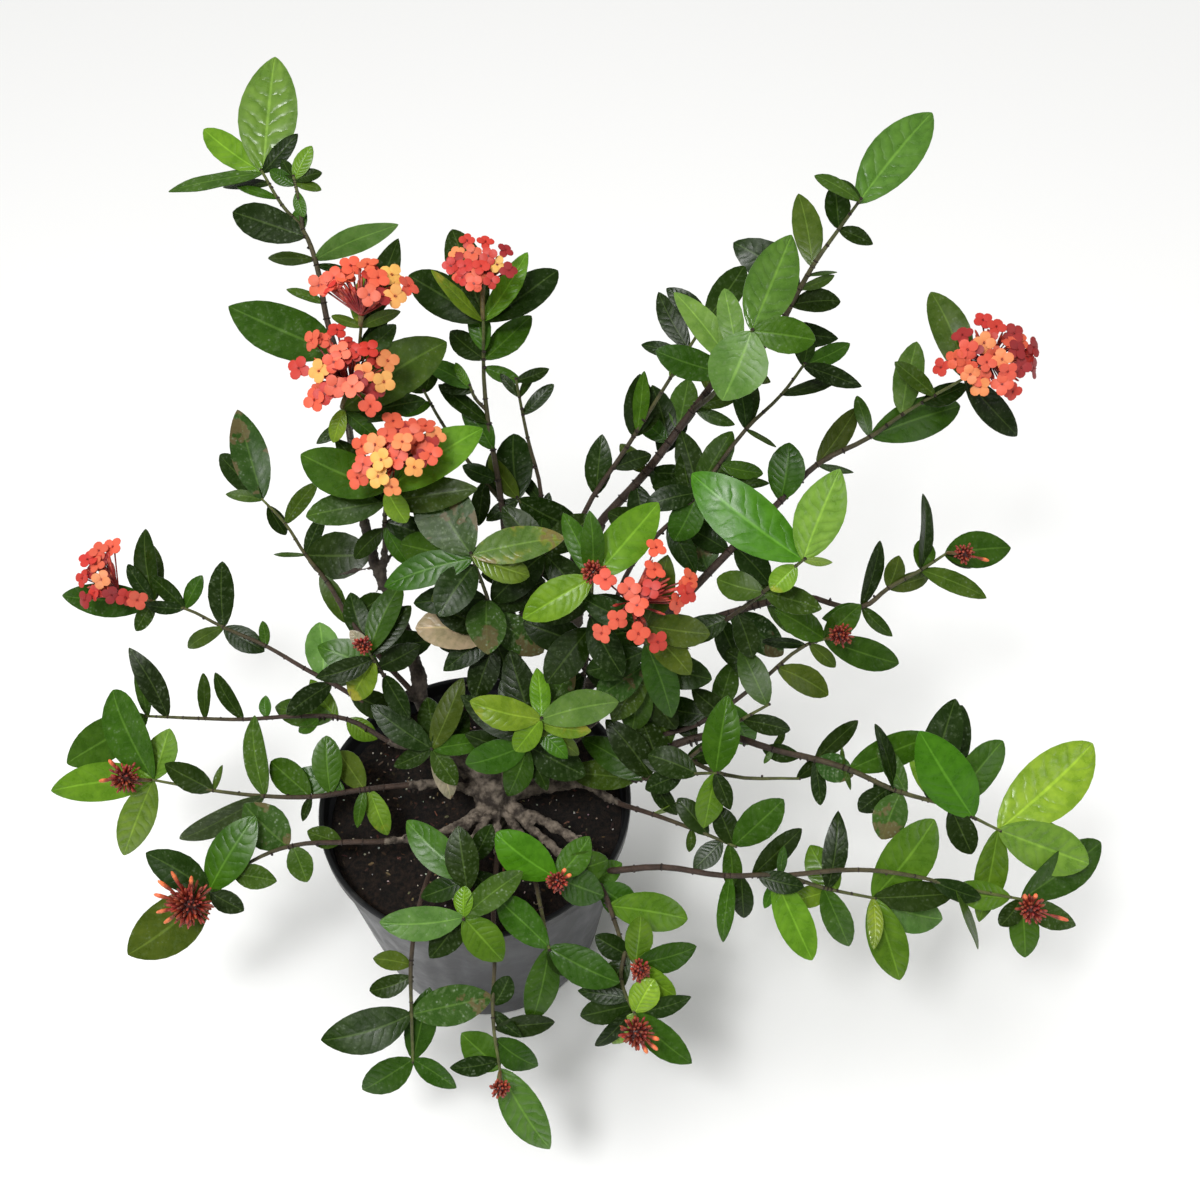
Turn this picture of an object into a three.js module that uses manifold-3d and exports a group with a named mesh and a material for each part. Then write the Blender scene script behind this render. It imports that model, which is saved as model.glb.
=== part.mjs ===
// An ixora in its nursery pot: a woody base with bare limbs, leafy shoots, flower heads and bud heads.
// Millimetres, +Z up. The origin is the middle of the pot's underside.
import * as THREE from "three";
import { mergeVertices } from "three/addons/utils/BufferGeometryUtils.js";
import Module from "manifold-3d";

const wasm = await Module();
wasm.setup();

// Pot and soil
const rimRadius = 125;
const potHeight = 190;
const baseRadius = 98;
const wall = 2.4;
const floorThickness = 3;
const rimBand = 13; // height of the thicker band under the rim
const rimLip = 2; // how far the band stands out
const soilTop = 172;
const soilDome = 4; // how much the soil rises from its edge to the trunk
const gap = 0.3; // between neighbouring pieces

// The leaves turn their faces to the light, which falls from the front at this height.
const lightRise = 48; // degrees above the horizon
const seed = 20;

// Leaves
const bladeThickness = 1.5;
const smallLeaf = 46; // shorter blades have one station
const largeLeaf = 66; // longer ones have three
const stalkHalf = 0.7; // half breadth of a blade at its root
const leanSpread = 16; // degrees, how far blades tip out of the lit plane
const leastBreadth = 0.34; // of the length; a leaf that looks slimmer is rolled about its length
const rollSpread = 20; // degrees
const archLeast = 0.06; // drop of the tip, as a share of the length
const archMost = 0.2;
const clearance = 0.5; // kept round a blade when its place is looked for

// Flowers
const floretRadius = 7.5;
const tubeRadius = 0.9;
const petalThickness = 1.3;
const petalNotch = 0.36; // depth between two petals, as a share of the floret's radius
const budRadius = 1.3;
const budCore = 0.55; // radius of a bud head's ball, as a share of the buds' reach
const tidyLimit = 0.2; // shapes change by less than this where joints are tidied

const shades = {
  pot: [0x4a4b50, 0.45],
  soil: [0x1c1512, 0.95],
  bark: [0x6f6256, 0.85],
  leaf: [0x3f7a2c, 0.35],
  petal: [0xf0785a, 0.5],
  bud: [0x93402c, 0.55],
};

// Limbs of the woody base, from the trunk outwards. A shoot starts at the end of the limb it names.
const limbs = [
  { name: "left", thick: [8.5, 4.5],
    path: [[14, 0, 208], [-10, 15, 222], [-35, 35, 250], [-45, 65, 285], [-55, 85, 310],
            [-70, 100, 355], [-76, 112, 395]] },
  { name: "left_front", thick: [4, 3],
    path: [[-66, 97, 345], [-63, 98, 362], [-60, 95, 378]] },
  { name: "back", thick: [8, 5],
    path: [[20, -4, 208], [33, 45, 260], [30, 95, 320]] },
  { name: "back_fork", thick: [4.5, 3.5],
    path: [[32, 66, 286], [48, 110, 322], [52, 122, 340]] },
  { name: "upper_right", thick: [8.5, 5.5],
    path: [[26, 0, 208], [60, 55, 245], [85, 115, 300], [100, 150, 350]] },
  { name: "upper_side", thick: [4.5, 3.5],
    path: [[83, 110, 295], [76, 118, 315], [78, 122, 332]] },
  { name: "right", thick: [8, 5.5],
    path: [[28, 2, 206], [52, 30, 225], [100, 70, 262], [165, 105, 310]] },
  { name: "right_side", thick: [4, 3],
    path: [[98, 68, 260], [106, 88, 285], [110, 98, 305]] },
  { name: "far_right", thick: [7, 5],
    path: [[30, 0, 204], [80, 30, 232], [115, 58, 250], [150, 78, 272], [180, 98, 290]] },
  { name: "inner_right", thick: [4, 3],
    path: [[150, 78, 272], [158, 70, 290], [164, 66, 302]] },
  { name: "flat", thick: [7.5, 6],
    path: [[26, -3, 200], [75, 2, 208], [118, 2, 218]] },
  { name: "flat_side", thick: [3.5, 3],
    path: [[92, 2, 211], [104, -6, 221], [112, -13, 229]] },
  { name: "flat_low", thick: [3.5, 3],
    path: [[84, 2, 209], [104, -16, 215], [116, -28, 223]] },
  { name: "mid_flat", thick: [4, 3.2],
    path: [[100, 2, 213], [124, 12, 236], [140, 14, 252]] },
  { name: "low_right", thick: [5.5, 4],
    path: [[24, -10, 196], [75, -46, 208], [105, -85, 222]] },
  { name: "mid_fork", thick: [4, 3.2],
    path: [[118, 60, 252], [126, 45, 262], [130, 38, 272]] },
  { name: "middle", thick: [4, 3.2],
    path: [[72, 47, 242], [82, 40, 262], [85, 37, 275]] },
  { name: "left_mid", thick: [5, 4],
    path: [[-16, 20, 228], [-38, 40, 254], [-50, 50, 268]] },
  { name: "left_inner", thick: [3.6, 3],
    path: [[-38, 42, 262], [-50, 36, 276], [-56, 33, 288]] },
  { name: "left_long", thick: [5, 3.6],
    path: [[8, 2, 204], [-25, 18, 215], [-55, 28, 232], [-66, 34, 245]] },
  { name: "left_flat", thick: [3.6, 3],
    path: [[-40, 23, 224], [-56, 20, 232], [-68, 22, 237]] },
  { name: "left_low", thick: [5, 4],
    path: [[6, -4, 202], [-20, -2, 211], [-50, -10, 222]] },
  { name: "left_front_low", thick: [4.5, 3.6],
    path: [[12, -12, 196], [-25, -42, 203], [-65, -55, 213]] },
  { name: "near_left", thick: [4, 3.2],
    path: [[16, -14, 194], [-12, -44, 203], [-24, -68, 209]] },
  { name: "near", thick: [4, 3.2],
    path: [[17, -14, 196], [6, -44, 208], [5, -60, 216]] },
  { name: "near_low", thick: [4, 3.2],
    path: [[20, -16, 192], [20, -42, 200], [22, -62, 206]] },
  { name: "near_right", thick: [4.5, 3.5],
    path: [[22, -14, 196], [40, -50, 210], [45, -68, 218]] },
  { name: "near_side", thick: [4.5, 3.5],
    path: [[26, -12, 194], [60, -52, 205], [76, -72, 213]] },
  { name: "centre", thick: [4.5, 3.5],
    path: [[19, -4, 205], [30, -4, 232], [33, -6, 244]] },
  { name: "centre_back", thick: [4, 3.2],
    path: [[33, 56, 272], [24, 54, 292], [22, 53, 304]] },
  { name: "centre_left", thick: [3.6, 3],
    path: [[-22, 25, 236], [-24, 10, 245], [-26, 3, 251]] },
  { name: "inner_back", thick: [4, 3.2],
    path: [[31, 82, 305], [44, 84, 322], [48, 84, 334]] },
];

const shoots = [
  { name: "upper_left", limb: "left", stems: [
    { thick: 4,
      path: [[-76, 112, 395], [-80, 135, 460], [-80, 145, 500], [-90, 170, 530], [-95, 190, 560],
              [-105, 210, 575], [-120, 225, 585], [-135, 245, 600]],
      leaves: [[7, 86, 85, 0.5], [7, 142, 57, 0.34], [7, 192, 62, 0.26], [7, 46, 34, 0.4],
                [6.6, 175, 38, 0.26], [4.8, 161, 51, 0.48], [4.15, 177, 34, 0.2],
                [4.15, 22, 60, 0.24], [2.4, 156, 84, 0.54]] },
    { thick: 1.8,
      path: [[-105, 210, 575], [-107, 222, 592], [-110, 232, 603]],
      leaves: [[2, 60, 24, 0.5]] },
    { thick: 2.4,
      path: [[-80, 137, 467], [-68, 142, 510], [-58, 131, 553]],
      leaves: [[2, 69, 66, 0.3], [2, 87, 50, 0.4], [1.2, 42, 34, 0.45]] },
    { thick: 2.4,
      path: [[-79, 130, 446], [-76, 121, 475], [-76, 113, 498]],
      leaves: [[2, 36, 86, 0.42], [1.5, 12, 54, 0.36], [1.8, -40, 32, 0.4]] },
  ] },
  { name: "left_front", limb: "left_front", stems: [
    { thick: 3,
      path: [[-60, 95, 378], [-54, 88, 420], [-46, 73, 460]],
      leaves: [[2, 157, 67, 0.54], [2, 34, 78, 0.46], [1.5, 190, 54, 0.42], [1.5, 8, 64, 0.42],
                [2, 83, 54, 0.34], [2, 64, 56, 0.24], [1.5, 128, 54, 0.3], [0.8, -22, 46, 0.48],
                [0.6, 222, 32, 0.45], [0.7, -60, 34, 0.4]] },
  ] },
  { name: "back", limb: "back", stems: [
    { thick: 4.4,
      path: [[30, 95, 320], [25, 135, 390], [15, 175, 455], [17, 187, 518]],
      leaves: [[3, 147, 66, 0.42], [3, 38, 67, 0.44], [3, 109, 76, 0.34], [3, 57, 56, 0.34],
                [3, 136, 47, 0.24], [2.5, 45, 47, 0.5], [2.5, 138, 37, 0.5], [2.6, 99, 33, 0.5],
                [1.5, 125, 40, 0.5], [1.76, 142, 46, 0.3]] },
    { thick: 2,
      path: [[16, 172, 446], [8, 171, 459], [5, 171, 471]],
      leaves: [[2, 151, 40, 0.42]] },
  ] },
  { name: "back_right", limb: "back_fork", stems: [
    { thick: 3,
      path: [[52, 122, 340], [55, 145, 385], [46, 158, 432], [40, 157, 488]],
      leaves: [[2.4, 44, 30, 0.34], [0.9, 128, 30, 0.34]] },
    { thick: 2.6,
      path: [[53, 126, 350], [22, 151, 376], [0, 165, 400], [-20, 178, 430], [-30, 176, 462]],
      leaves: [[1, 98, 38, 0.45], [1.5, 262, 34, 0.45]] },
    { thick: 2.6,
      path: [[53, 130, 358], [45, 135, 374], [37, 138, 390]],
      leaves: [[2, 95, 52, 0.56], [1.9, 124, 38, 0.45], [2, -26, 52, 0.46]] },
  ] },
  { name: "upper_right", limb: "upper_right", stems: [
    { thick: 5,
      path: [[100, 150, 350], [135, 165, 390], [170, 190, 430], [190, 200, 455], [225, 205, 485],
              [245, 220, 520], [255, 225, 540], [270, 235, 560], [280, 225, 590]],
      leaves: [[7.85, 51, 86, 0.5], [8, 149, 35, 0.36], [7, 94, 33, 0.6], [5.8, 99, 56, 0.4],
                [4.7, 4, 36, 0.5], [2.2, 14, 34, 0.4], [2.1, -22, 32, 0.34], [1.7, 78, 42, 0.58],
                [1.5, 105, 46, 0.5], [1.1, -45, 48, 0.52]] },
    { thick: 3,
      path: [[172, 190, 433], [184, 160, 475], [200, 122, 556]],
      leaves: [[2, 67, 72, 0.54], [2, 247, 48, 0.86], [2, -10, 40, 0.55], [1.6, 100, 48, 0.36],
                [1.45, 128, 62, 0.34], [1.3, 164, 50, 0.42]] },
  ] },
  { name: "upper_side", limb: "upper_side", stems: [
    { thick: 3.4,
      path: [[78, 122, 332], [87, 128, 380], [120, 155, 425], [145, 170, 465], [175, 171, 530]],
      leaves: [[4, 56, 52, 0.42], [4, 142, 34, 0.46], [3.6, 117, 46, 0.4], [2.2, 66, 36, 0.6],
                [2.3, 84, 42, 0.28], [1.3, 84, 44, 0.5], [1.7, 20, 30, 0.45]] },
  ] },
  { name: "right_side", limb: "right_side", stems: [
    { thick: 3,
      path: [[110, 98, 305], [125, 115, 340], [170, 135, 390], [210, 170, 430], [235, 180, 455],
              [250, 185, 480]],
      leaves: [[5, 78, 30, 0.38], [5, 28, 45, 0.34], [5, -20, 44, 0.34], [4, 18, 49, 0.24],
                [3, 99, 41, 0.36], [3, 77, 43, 0.36], [2.5, -10, 34, 0.4], [2, 100, 38, 0.5],
                [1.6, -60, 40, 0.5]] },
  ] },
  { name: "right", limb: "right", stems: [
    { thick: 4.8,
      path: [[165, 105, 310], [205, 130, 345], [245, 160, 370], [270, 180, 385], [310, 190, 405],
              [335, 200, 420], [375, 195, 460]],
      leaves: [[6, 110, 70, 0.38], [6, -41, 64, 0.34], [4.95, 78, 56, 0.42], [5.5, 140, 38, 0.38],
                [5.3, 22, 38, 0.5], [4, 19, 79, 0.4], [4, 106, 34, 0.32], [3, 55, 54, 0.36],
                [3, -10, 31, 0.16], [1.9, 82, 44, 0.66], [1, -48, 38, 0.6], [0.5, 112, 54, 0.72],
                [0.9, 150, 42, 0.5]] },
  ] },
  { name: "inner_right", limb: "inner_right", stems: [
    { thick: 3.4,
      path: [[164, 66, 302], [188, 45, 350], [215, 36, 395], [240, 35, 430]],
      leaves: [[3, 141, 97, 0.42], [3, 68, 66, 0.56], [2, 163, 34, 0.6], [2, -16, 42, 0.5],
                [1.4, -70, 36, 0.5], [1.2, 200, 40, 0.5]] },
  ] },
  { name: "far_right", limb: "far_right", stems: [
    { thick: 4.4,
      path: [[180, 98, 290], [225, 100, 310], [255, 100, 320], [300, 80, 330], [320, 90, 340],
              [345, 100, 350], [365, 110, 358]],
      leaves: [[6, 6, 58, 0.54], [5, 85, 58, 0.25], [5, -22, 56, 0.32], [4, 15, 38, 0.4],
                [3, 75, 51, 0.28], [3, -42, 34, 0.36], [3, 198, 30, 0.6], [2, 172, 40, 0.5],
                [1.2, -50, 32, 0.34], [0.5, -36, 58, 0.46], [0.3, -65, 48, 0.5]] },
  ] },
  { name: "far_right_low", limb: "mid_flat", stems: [
    { thick: 3,
      path: [[140, 14, 252], [175, 12, 272], [220, 30, 300], [255, 50, 320], [270, 50, 328]],
      leaves: [[4, 149, 42, 0.55], [4, 44, 36, 0.6], [4, -18, 61, 0.38], [3, 176, 32, 0.26],
                [2.4, -28, 47, 0.44], [1.5, -60, 42, 0.5], [1.2, 170, 44, 0.5], [1.3, 70, 40, 0.5]] },
  ] },
  { name: "low_flat", limb: "flat", stems: [
    { thick: 5.2,
      path: [[118, 2, 218], [150, 8, 245], [190, 10, 260], [230, -10, 270], [280, -30, 275],
              [315, -50, 275], [355, -60, 268], [390, -75, 260]],
      leaves: [[7, 39, 97, 0.44], [7, -22, 71, 0.5], [7, 260, 69, 0.42], [6.2, 120, 63, 0.48],
                [6, 50, 61, 0.46], [5.6, 74, 76, 0.36], [5.8, 66, 76, 0.34], [6, -66, 36, 0.55],
                [4.1, 22, 62, 0.4], [4.9, 222, 28, 0.6], [5.2, 118, 40, 0.4], [5, 108, 50, 0.24],
                [5.1, 248, 36, 0.7], [3.6, 42, 42, 0.36], [3.6, -22, 28, 0.8], [3.6, -82, 34, 0.36],
                [2.3, 205, 40, 0.5]] },
    { thick: 2.6,
      path: [[152, 8, 246], [195, -18, 248], [250, -27, 256]],
      leaves: [[2, 40, 30, 0.4]] },
  ] },
  { name: "bright_pair", limb: "flat_side", stems: [
    { thick: 3,
      path: [[112, -13, 229], [150, -30, 265], [185, -45, 290]],
      leaves: [[2, 81, 54, 0.52], [2, 260, 43, 0.52], [1.6, 160, 38, 0.6], [0.9, 110, 44, 0.5],
                [0.7, -56, 34, 0.45]] },
    { thick: 2,
      path: [[151, -30, 266], [198, -10, 301], [223, -5, 319]],
      leaves: [[2, 113, 46, 0.5], [1.25, -13, 36, 0.44], [1, 140, 40, 0.5]] },
  ] },
  { name: "flat_low", limb: "flat_low", stems: [
    { thick: 3,
      path: [[116, -28, 223], [140, -45, 235], [175, -65, 242], [200, -76, 240]],
      leaves: [[3, 44, 48, 0.54], [3, 112, 30, 0.6], [2.8, -86, 34, 0.42], [2.2, 130, 34, 0.5]] },
  ] },
  { name: "low_right", limb: "low_right", stems: [
    { thick: 3.6,
      path: [[105, -85, 222], [145, -90, 235], [190, -100, 240], [230, -100, 240],
              [265, -105, 230], [300, -110, 225]],
      leaves: [[5, 51, 72, 0.5], [5, -20, 61, 0.47], [5, -72, 62, 0.46], [5, -94, 30, 0.34],
                [5, 4, 56, 0.38], [4, 81, 55, 0.36], [4.2, 120, 36, 0.7], [3.92, -66, 52, 0.42],
                [4.08, 206, 30, 0.48], [2.5, 39, 50, 0.4], [2.9, -66, 66, 0.37],
                [2.3, -85, 34, 0.46], [2.1, 263, 47, 0.25], [2.6, -12, 32, 0.5]] },
    { thick: 2.4,
      path: [[232, -100, 240], [285, -101, 250], [325, -105, 248], [355, -110, 242],
              [405, -115, 232]],
      leaves: [[4, 33, 72, 0.46], [4, -27, 50, 0.4], [4, -82, 46, 0.46], [3.8, 172, 40, 0.5],
                [3, -70, 44, 0.17], [2.4, -20, 36, 0.4]] },
  ] },
  { name: "near_side", limb: "near_side", stems: [
    { thick: 3.2,
      path: [[76, -72, 213], [100, -98, 222], [110, -125, 222], [118, -147, 218], [126, -157, 214]],
      leaves: [[4, 82, 32, 0.62], [4, 11, 46, 0.48], [4, -40, 37, 0.44], [3.2, 238, 38, 0.5],
                [1.6, -12, 60, 0.44], [1, -35, 32, 0.75]] },
    { thick: 2.2,
      path: [[118, -147, 218], [115, -166, 212], [125, -188, 200]],
      leaves: [[2, -43, 56, 0.42], [1.8, 226, 36, 0.32], [1.5, 176, 36, 0.42], [1.7, 200, 40, 0.5],
                [1.9, 10, 42, 0.38]] },
  ] },
  { name: "near_right", limb: "near_right", stems: [
    { thick: 3.2,
      path: [[45, -68, 218], [52, -95, 229], [58, -125, 238], [65, -158, 240]],
      leaves: [[3, 143, 50, 0.52], [3, -24, 52, 0.5], [3, 257, 60, 0.4]] },
    { thick: 2.2,
      path: [[53, -96, 230], [62, -100, 240], [70, -106, 247]],
      leaves: [[2, 144, 53, 0.6], [2, -24, 38, 0.74], [2, 50, 37, 0.62], [1.4, 14, 42, 0.6]] },
  ] },
  { name: "near", limb: "near", stems: [
    { thick: 3,
      path: [[5, -60, 216], [5, -100, 235], [5, -140, 250]],
      leaves: [[2, 181, 55, 0.42], [2, -50, 41, 0.66], [2, 36, 50, 0.42], [1.8, 233, 38, 0.6],
                [1.3, 99, 46, 0.58], [1, 139, 62, 0.42], [1, 202, 38, 0.46], [0.5, 62, 30, 0.55],
                [0.8, -30, 34, 0.5]] },
  ] },
  { name: "near_left", limb: "near_left", stems: [
    { thick: 3,
      path: [[-24, -68, 209], [-32, -115, 218], [-35, -150, 208], [-35, -172, 188],
              [-35, -200, 150]],
      leaves: [[4, 214, 46, 0.54], [4, -33, 36, 0.5], [4, 77, 52, 0.46], [3.2, 194, 62, 0.5],
                [3.2, 13, 58, 0.5], [2.4, 198, 30, 0.48]] },
  ] },
  { name: "near_low", limb: "near_low", stems: [
    { thick: 3,
      path: [[22, -62, 206], [22, -110, 216], [25, -150, 212], [25, -188, 198], [30, -216, 172]],
      leaves: [[4, -61, 72, 0.4], [4, 141, 36, 0.78], [3.8, 188, 34, 0.46], [3.4, -39, 38, 0.58],
                [3.2, 2, 42, 0.42], [2.8, 60, 22, 0.7]] },
  ] },
  { name: "left_front_low", limb: "left_front_low", stems: [
    { thick: 3.2,
      path: [[-65, -55, 213], [-95, -60, 220], [-130, -66, 225], [-160, -78, 222],
              [-190, -100, 215]],
      leaves: [[4, 59, 63, 0.52], [4, 218, 76, 0.54], [4, 148, 53, 0.52], [3.4, -8, 32, 0.62],
                [2.1, 136, 46, 0.8]] },
  ] },
  { name: "left_low", limb: "left_low", stems: [
    { thick: 3.4,
      path: [[-50, -10, 222], [-85, -20, 230], [-120, -30, 236], [-155, -30, 237],
              [-195, -25, 237], [-245, -15, 237]],
      leaves: [[5, 120, 79, 0.46], [5, 187, 84, 0.38], [5, 78, 40, 0.76], [5, 245, 68, 0.4],
                [4, 152, 42, 0.52], [3, 103, 62, 0.36], [3, 208, 73, 0.25], [2, 142, 42, 0.56],
                [1.6, 95, 44, 0.5], [1.3, 158, 40, 0.54], [0.9, 128, 36, 0.58],
                [0.8, -70, 38, 0.46]] },
  ] },
  { name: "left_flat", limb: "left_flat", stems: [
    { thick: 2.8,
      path: [[-68, 22, 237], [-100, 36, 246], [-135, 36, 250], [-180, 32, 251], [-215, 33, 251],
              [-240, 35, 250], [-258, 36, 250]],
      leaves: [[5, 117, 60, 0.33], [6, 100, 44, 0.34], [6, 209, 80, 0.42], [3.85, 93, 35, 0.2],
                [3, 122, 42, 0.36], [1.3, 172, 52, 0.43], [1.2, 130, 40, 0.43]] },
  ] },
  { name: "left_long", limb: "left_long", stems: [
    { thick: 3,
      path: [[-66, 34, 245], [-95, 44, 268], [-130, 56, 285], [-160, 70, 295], [-195, 85, 300],
              [-230, 105, 300], [-258, 113, 300]],
      leaves: [[6, 177, 80, 0.36], [6, 101, 60, 0.34], [6, 113, 62, 0.3], [5, 139, 38, 0.46],
                [5, 175, 30, 0.36], [4, 97, 54, 0.37], [4, 207, 39, 0.3], [4, -30, 36, 0.54],
                [1.6, 96, 44, 0.6], [1.4, 215, 40, 0.5], [1, -25, 40, 0.55]] },
  ] },
  { name: "left_mid", limb: "left_mid", stems: [
    { thick: 3.4,
      path: [[-50, 50, 268], [-75, 65, 295], [-95, 85, 310], [-115, 115, 320], [-135, 140, 325],
              [-155, 170, 330], [-180, 200, 330]],
      leaves: [[6, 106, 78, 0.42], [6, 137, 60, 0.32], [6, 172, 29, 0.36], [5, 55, 42, 0.32],
                [4, 72, 38, 0.36], [4, 0, 52, 0.74], [3.3, -65, 42, 0.42], [2, 38, 32, 0.55],
                [1.3, 110, 40, 0.5], [1, 10, 44, 0.5]] },
  ] },
  { name: "left_inner", limb: "left_inner", stems: [
    { thick: 2.8,
      path: [[-56, 33, 288], [-64, 31, 312], [-70, 30, 338]],
      leaves: [[2, 66, 54, 0.4], [1.5, 237, 36, 0.68], [1.6, 198, 42, 0.42], [1.2, 28, 34, 0.62],
                [1.8, 52, 46, 0.46], [1, 158, 48, 0.6], [0.8, -60, 36, 0.5]] },
  ] },
  { name: "centre", limb: "centre", stems: [
    { thick: 3.4,
      path: [[33, -6, 244], [47, -12, 280], [58, -18, 320]],
      leaves: [[2, 166, 51, 0.5], [2, 11, 58, 0.46], [2, 95, 37, 0.45], [2, 232, 31, 0.56],
                [1.8, -10, 38, 0.36], [1.7, -38, 38, 0.42], [1.1, 114, 50, 0.46], [1, 200, 52, 0.5],
                [0.9, 248, 44, 0.56], [0.9, -28, 48, 0.56], [0.8, -64, 36, 0.4],
                [0.5, 160, 44, 0.5]] },
  ] },
  { name: "middle", limb: "middle", stems: [
    { thick: 3,
      path: [[85, 37, 275], [92, 30, 350], [95, 20, 428]],
      leaves: [[2, 49, 70, 0.45], [2, 210, 54, 0.5], [2, 115, 49, 0.38], [2, 92, 42, 0.4],
                [1.7, -30, 44, 0.5], [1.4, -62, 48, 0.5], [1.2, 232, 48, 0.55], [1, 10, 52, 0.5],
                [0.9, 160, 50, 0.55], [0.5, -25, 54, 0.52], [0.4, 222, 50, 0.5]] },
  ] },
  { name: "centre_back", limb: "centre_back", stems: [
    { thick: 3.2,
      path: [[22, 53, 304], [20, 51, 360], [10, 50, 420]],
      leaves: [[2, 121, 66, 0.62], [2, 11, 66, 0.43], [2, -20, 43, 0.46], [1.9, 197, 66, 0.38],
                [1.9, 168, 58, 0.42], [1.8, 236, 42, 0.66], [1.2, -88, 38, 0.84],
                [1.2, 184, 50, 0.42], [1, 28, 46, 0.56], [0.9, -38, 48, 0.56], [0.6, 158, 46, 0.5],
                [0.5, 182, 52, 0.6], [0.4, -70, 44, 0.5]] },
  ] },
  { name: "open_flower", limb: "mid_fork", stems: [
    { thick: 3,
      path: [[130, 38, 272], [133, 18, 340], [131, 0, 402]],
      leaves: [[2, -8, 46, 0.48], [1.9, -46, 46, 0.46], [2, 72, 50, 0.5], [2, 150, 50, 0.42],
                [1.5, -70, 60, 0.4], [1.3, 200, 46, 0.5], [1, -15, 48, 0.5], [0.9, 215, 44, 0.55],
                [0.5, -56, 46, 0.5]] },
  ] },
  { name: "centre_left", limb: "centre_left", stems: [
    { thick: 2.6,
      path: [[-26, 3, 251], [-28, -4, 262]],
      leaves: [[1, 47, 38, 0.6], [1, 67, 58, 0.38], [1, -58, 34, 0.52], [1, 144, 56, 0.42],
                [1, 8, 42, 0.42], [1, 205, 34, 0.45], [0.5, 100, 40, 0.55]] },
  ] },
  { name: "inner_back", limb: "inner_back", stems: [
    { thick: 3,
      path: [[48, 84, 334], [56, 84, 362], [60, 80, 390]],
      leaves: [[2, 132, 46, 0.5], [2, -48, 50, 0.5], [2, 222, 50, 0.52]] },
  ] },
];

// Flower heads stand at the end of a shoot's stem, and their foot is the step in the lit plane from
// there to where the tubes part. Florets are listed by their place in the lit plane from that point,
// and lie on a dome of the radius given, which tips sideways by a share of its height.
const flowers = [
  { name: "flower_back", shoot: "back", stem: 0, foot: [0, 23], dome: 33, tip: [0.09, -0.26],
    florets: [[-11, 31], [-18, 22], [-22, 13], [-7, 22], [-1, 13], [4, 20], [10, 14], [16, 24],
      [2, 30], [6, 3], [-6, 1], [18, 10], [-14, 5], [-12, 13]] },
  { name: "flower_upper_left", shoot: "upper_left", stem: 2, foot: [1, 5], dome: 32, tip: [0.18, -0.24],
    florets: [[-18, 25], [-7, 33], [4, 34], [11, 25], [5, 14], [20, 27], [22, 13], [31, 20],
      [-28, 20]] },
  { name: "flower_left", shoot: "upper_left", stem: 3, foot: [6, 13], dome: 35, tip: [0.2, -0.18],
    florets: [[-26, 32], [-9, 39], [-7, 24], [-21, 11], [-11, 17], [12, 26], [9, 10], [1, 1],
      [22, 4], [13, -12], [-24, -8], [-35, 13], [-10, 1], [25, 18]] },
  { name: "flower_left_front", shoot: "left_front", stem: 0, foot: [6, 17], dome: 33, tip: [0.16, -0.11],
    florets: [[-22, 11], [-13, 12], [-9, 2], [-1, 28], [-5, 18], [5, 14], [12, 19], [21, 25],
      [28, 18], [24, 6], [-21, -1], [-25, -10], [1, 3], [-11, -9], [13, -3], [-2, -16]] },
  { name: "flower_right", shoot: "right", stem: 0, foot: [15, 10], dome: 32, tip: [-0.3, -0.19],
    florets: [[-4, 14], [-16, 9], [-25, 2], [-14, -9], [-2, 0], [9, 2], [-7, -18], [9, -16],
      [13, -7], [23, -4], [33, -5], [33, 11], [18, 21], [5, 26], [-5, 31], [-20, 20], [20, 9],
      [-36, -4], [17, -22]] },
  { name: "flower_far_left", shoot: "left_long", stem: 0, foot: [-24, 7], dome: 30, tip: [0.38, -0.02],
    florets: [[-5, 36], [-16, 33], [-25, 26], [-18, 22], [-14, 10], [-29, 11], [-6, -2], [14, -6],
      [-27, -6]] },
  { name: "flower_open", shoot: "open_flower", stem: 0, foot: [-11, 15], dome: 28, tip: [-0.03, 0],
    florets: [[0, 9], [14, 9], [17, 22], [5, -2], [32, -1], [39, 6], [41, 16], [18, 37],
      [-19, -21], [6, -21], [19, -27], [-16, 15]] },
];

// Bud heads are balls of short buds, fine or coarse by their detail, with some long buds given by
// direction in the lit plane and reach.
const budHeads = [
  { name: "buds_low_left_front", foot: [-12, -5], shoot: "left_front_low", stem: 0, radius: 15, detail: 1,
    long: [[112, 30], [136, 30], [158, 27], [82, 24], [215, 22], [190, 24]] },
  { name: "buds_low_left", foot: [-18, 2], shoot: "left_low", stem: 0, radius: 12, detail: 1,
    long: [[185, 19], [125, 19]] },
  { name: "buds_near_low_side", foot: [0, -7], shoot: "near_side", stem: 1, radius: 11, detail: 1,
    long: [[-35, 19], [-12, 17], [-60, 16]] },
  { name: "buds_near_side", foot: [2, 0], shoot: "near_side", stem: 0, radius: 8, detail: 1, long: [] },
  { name: "buds_near_right", foot: [0, 0], shoot: "near_right", stem: 1, radius: 8, detail: 1,
    long: [[60, 12], [30, 12]] },
  { name: "buds_near_low", foot: [1, -8], shoot: "near_low", stem: 0, radius: 7, detail: 1, long: [] },
  { name: "buds_far_right_low", foot: [8, 3], shoot: "far_right_low", stem: 0, radius: 9, detail: 1,
    long: [] },
  { name: "buds_far_right", foot: [10, -1], shoot: "far_right", stem: 0, radius: 8, detail: 1,
    long: [[-18, 19]] },
  { name: "buds_low_right", foot: [1, -4], shoot: "low_right", stem: 1, radius: 10, detail: 1,
    long: [[118, 14], [78, 13], [-14, 26]] },
  { name: "buds_middle", foot: [1, 3], shoot: "middle", stem: 0, radius: 8, detail: 1, long: [[-30, 15]] },
  { name: "buds_left_inner", foot: [-2, 4], shoot: "left_inner", stem: 0, radius: 7, detail: 1, long: [] },
];

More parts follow.
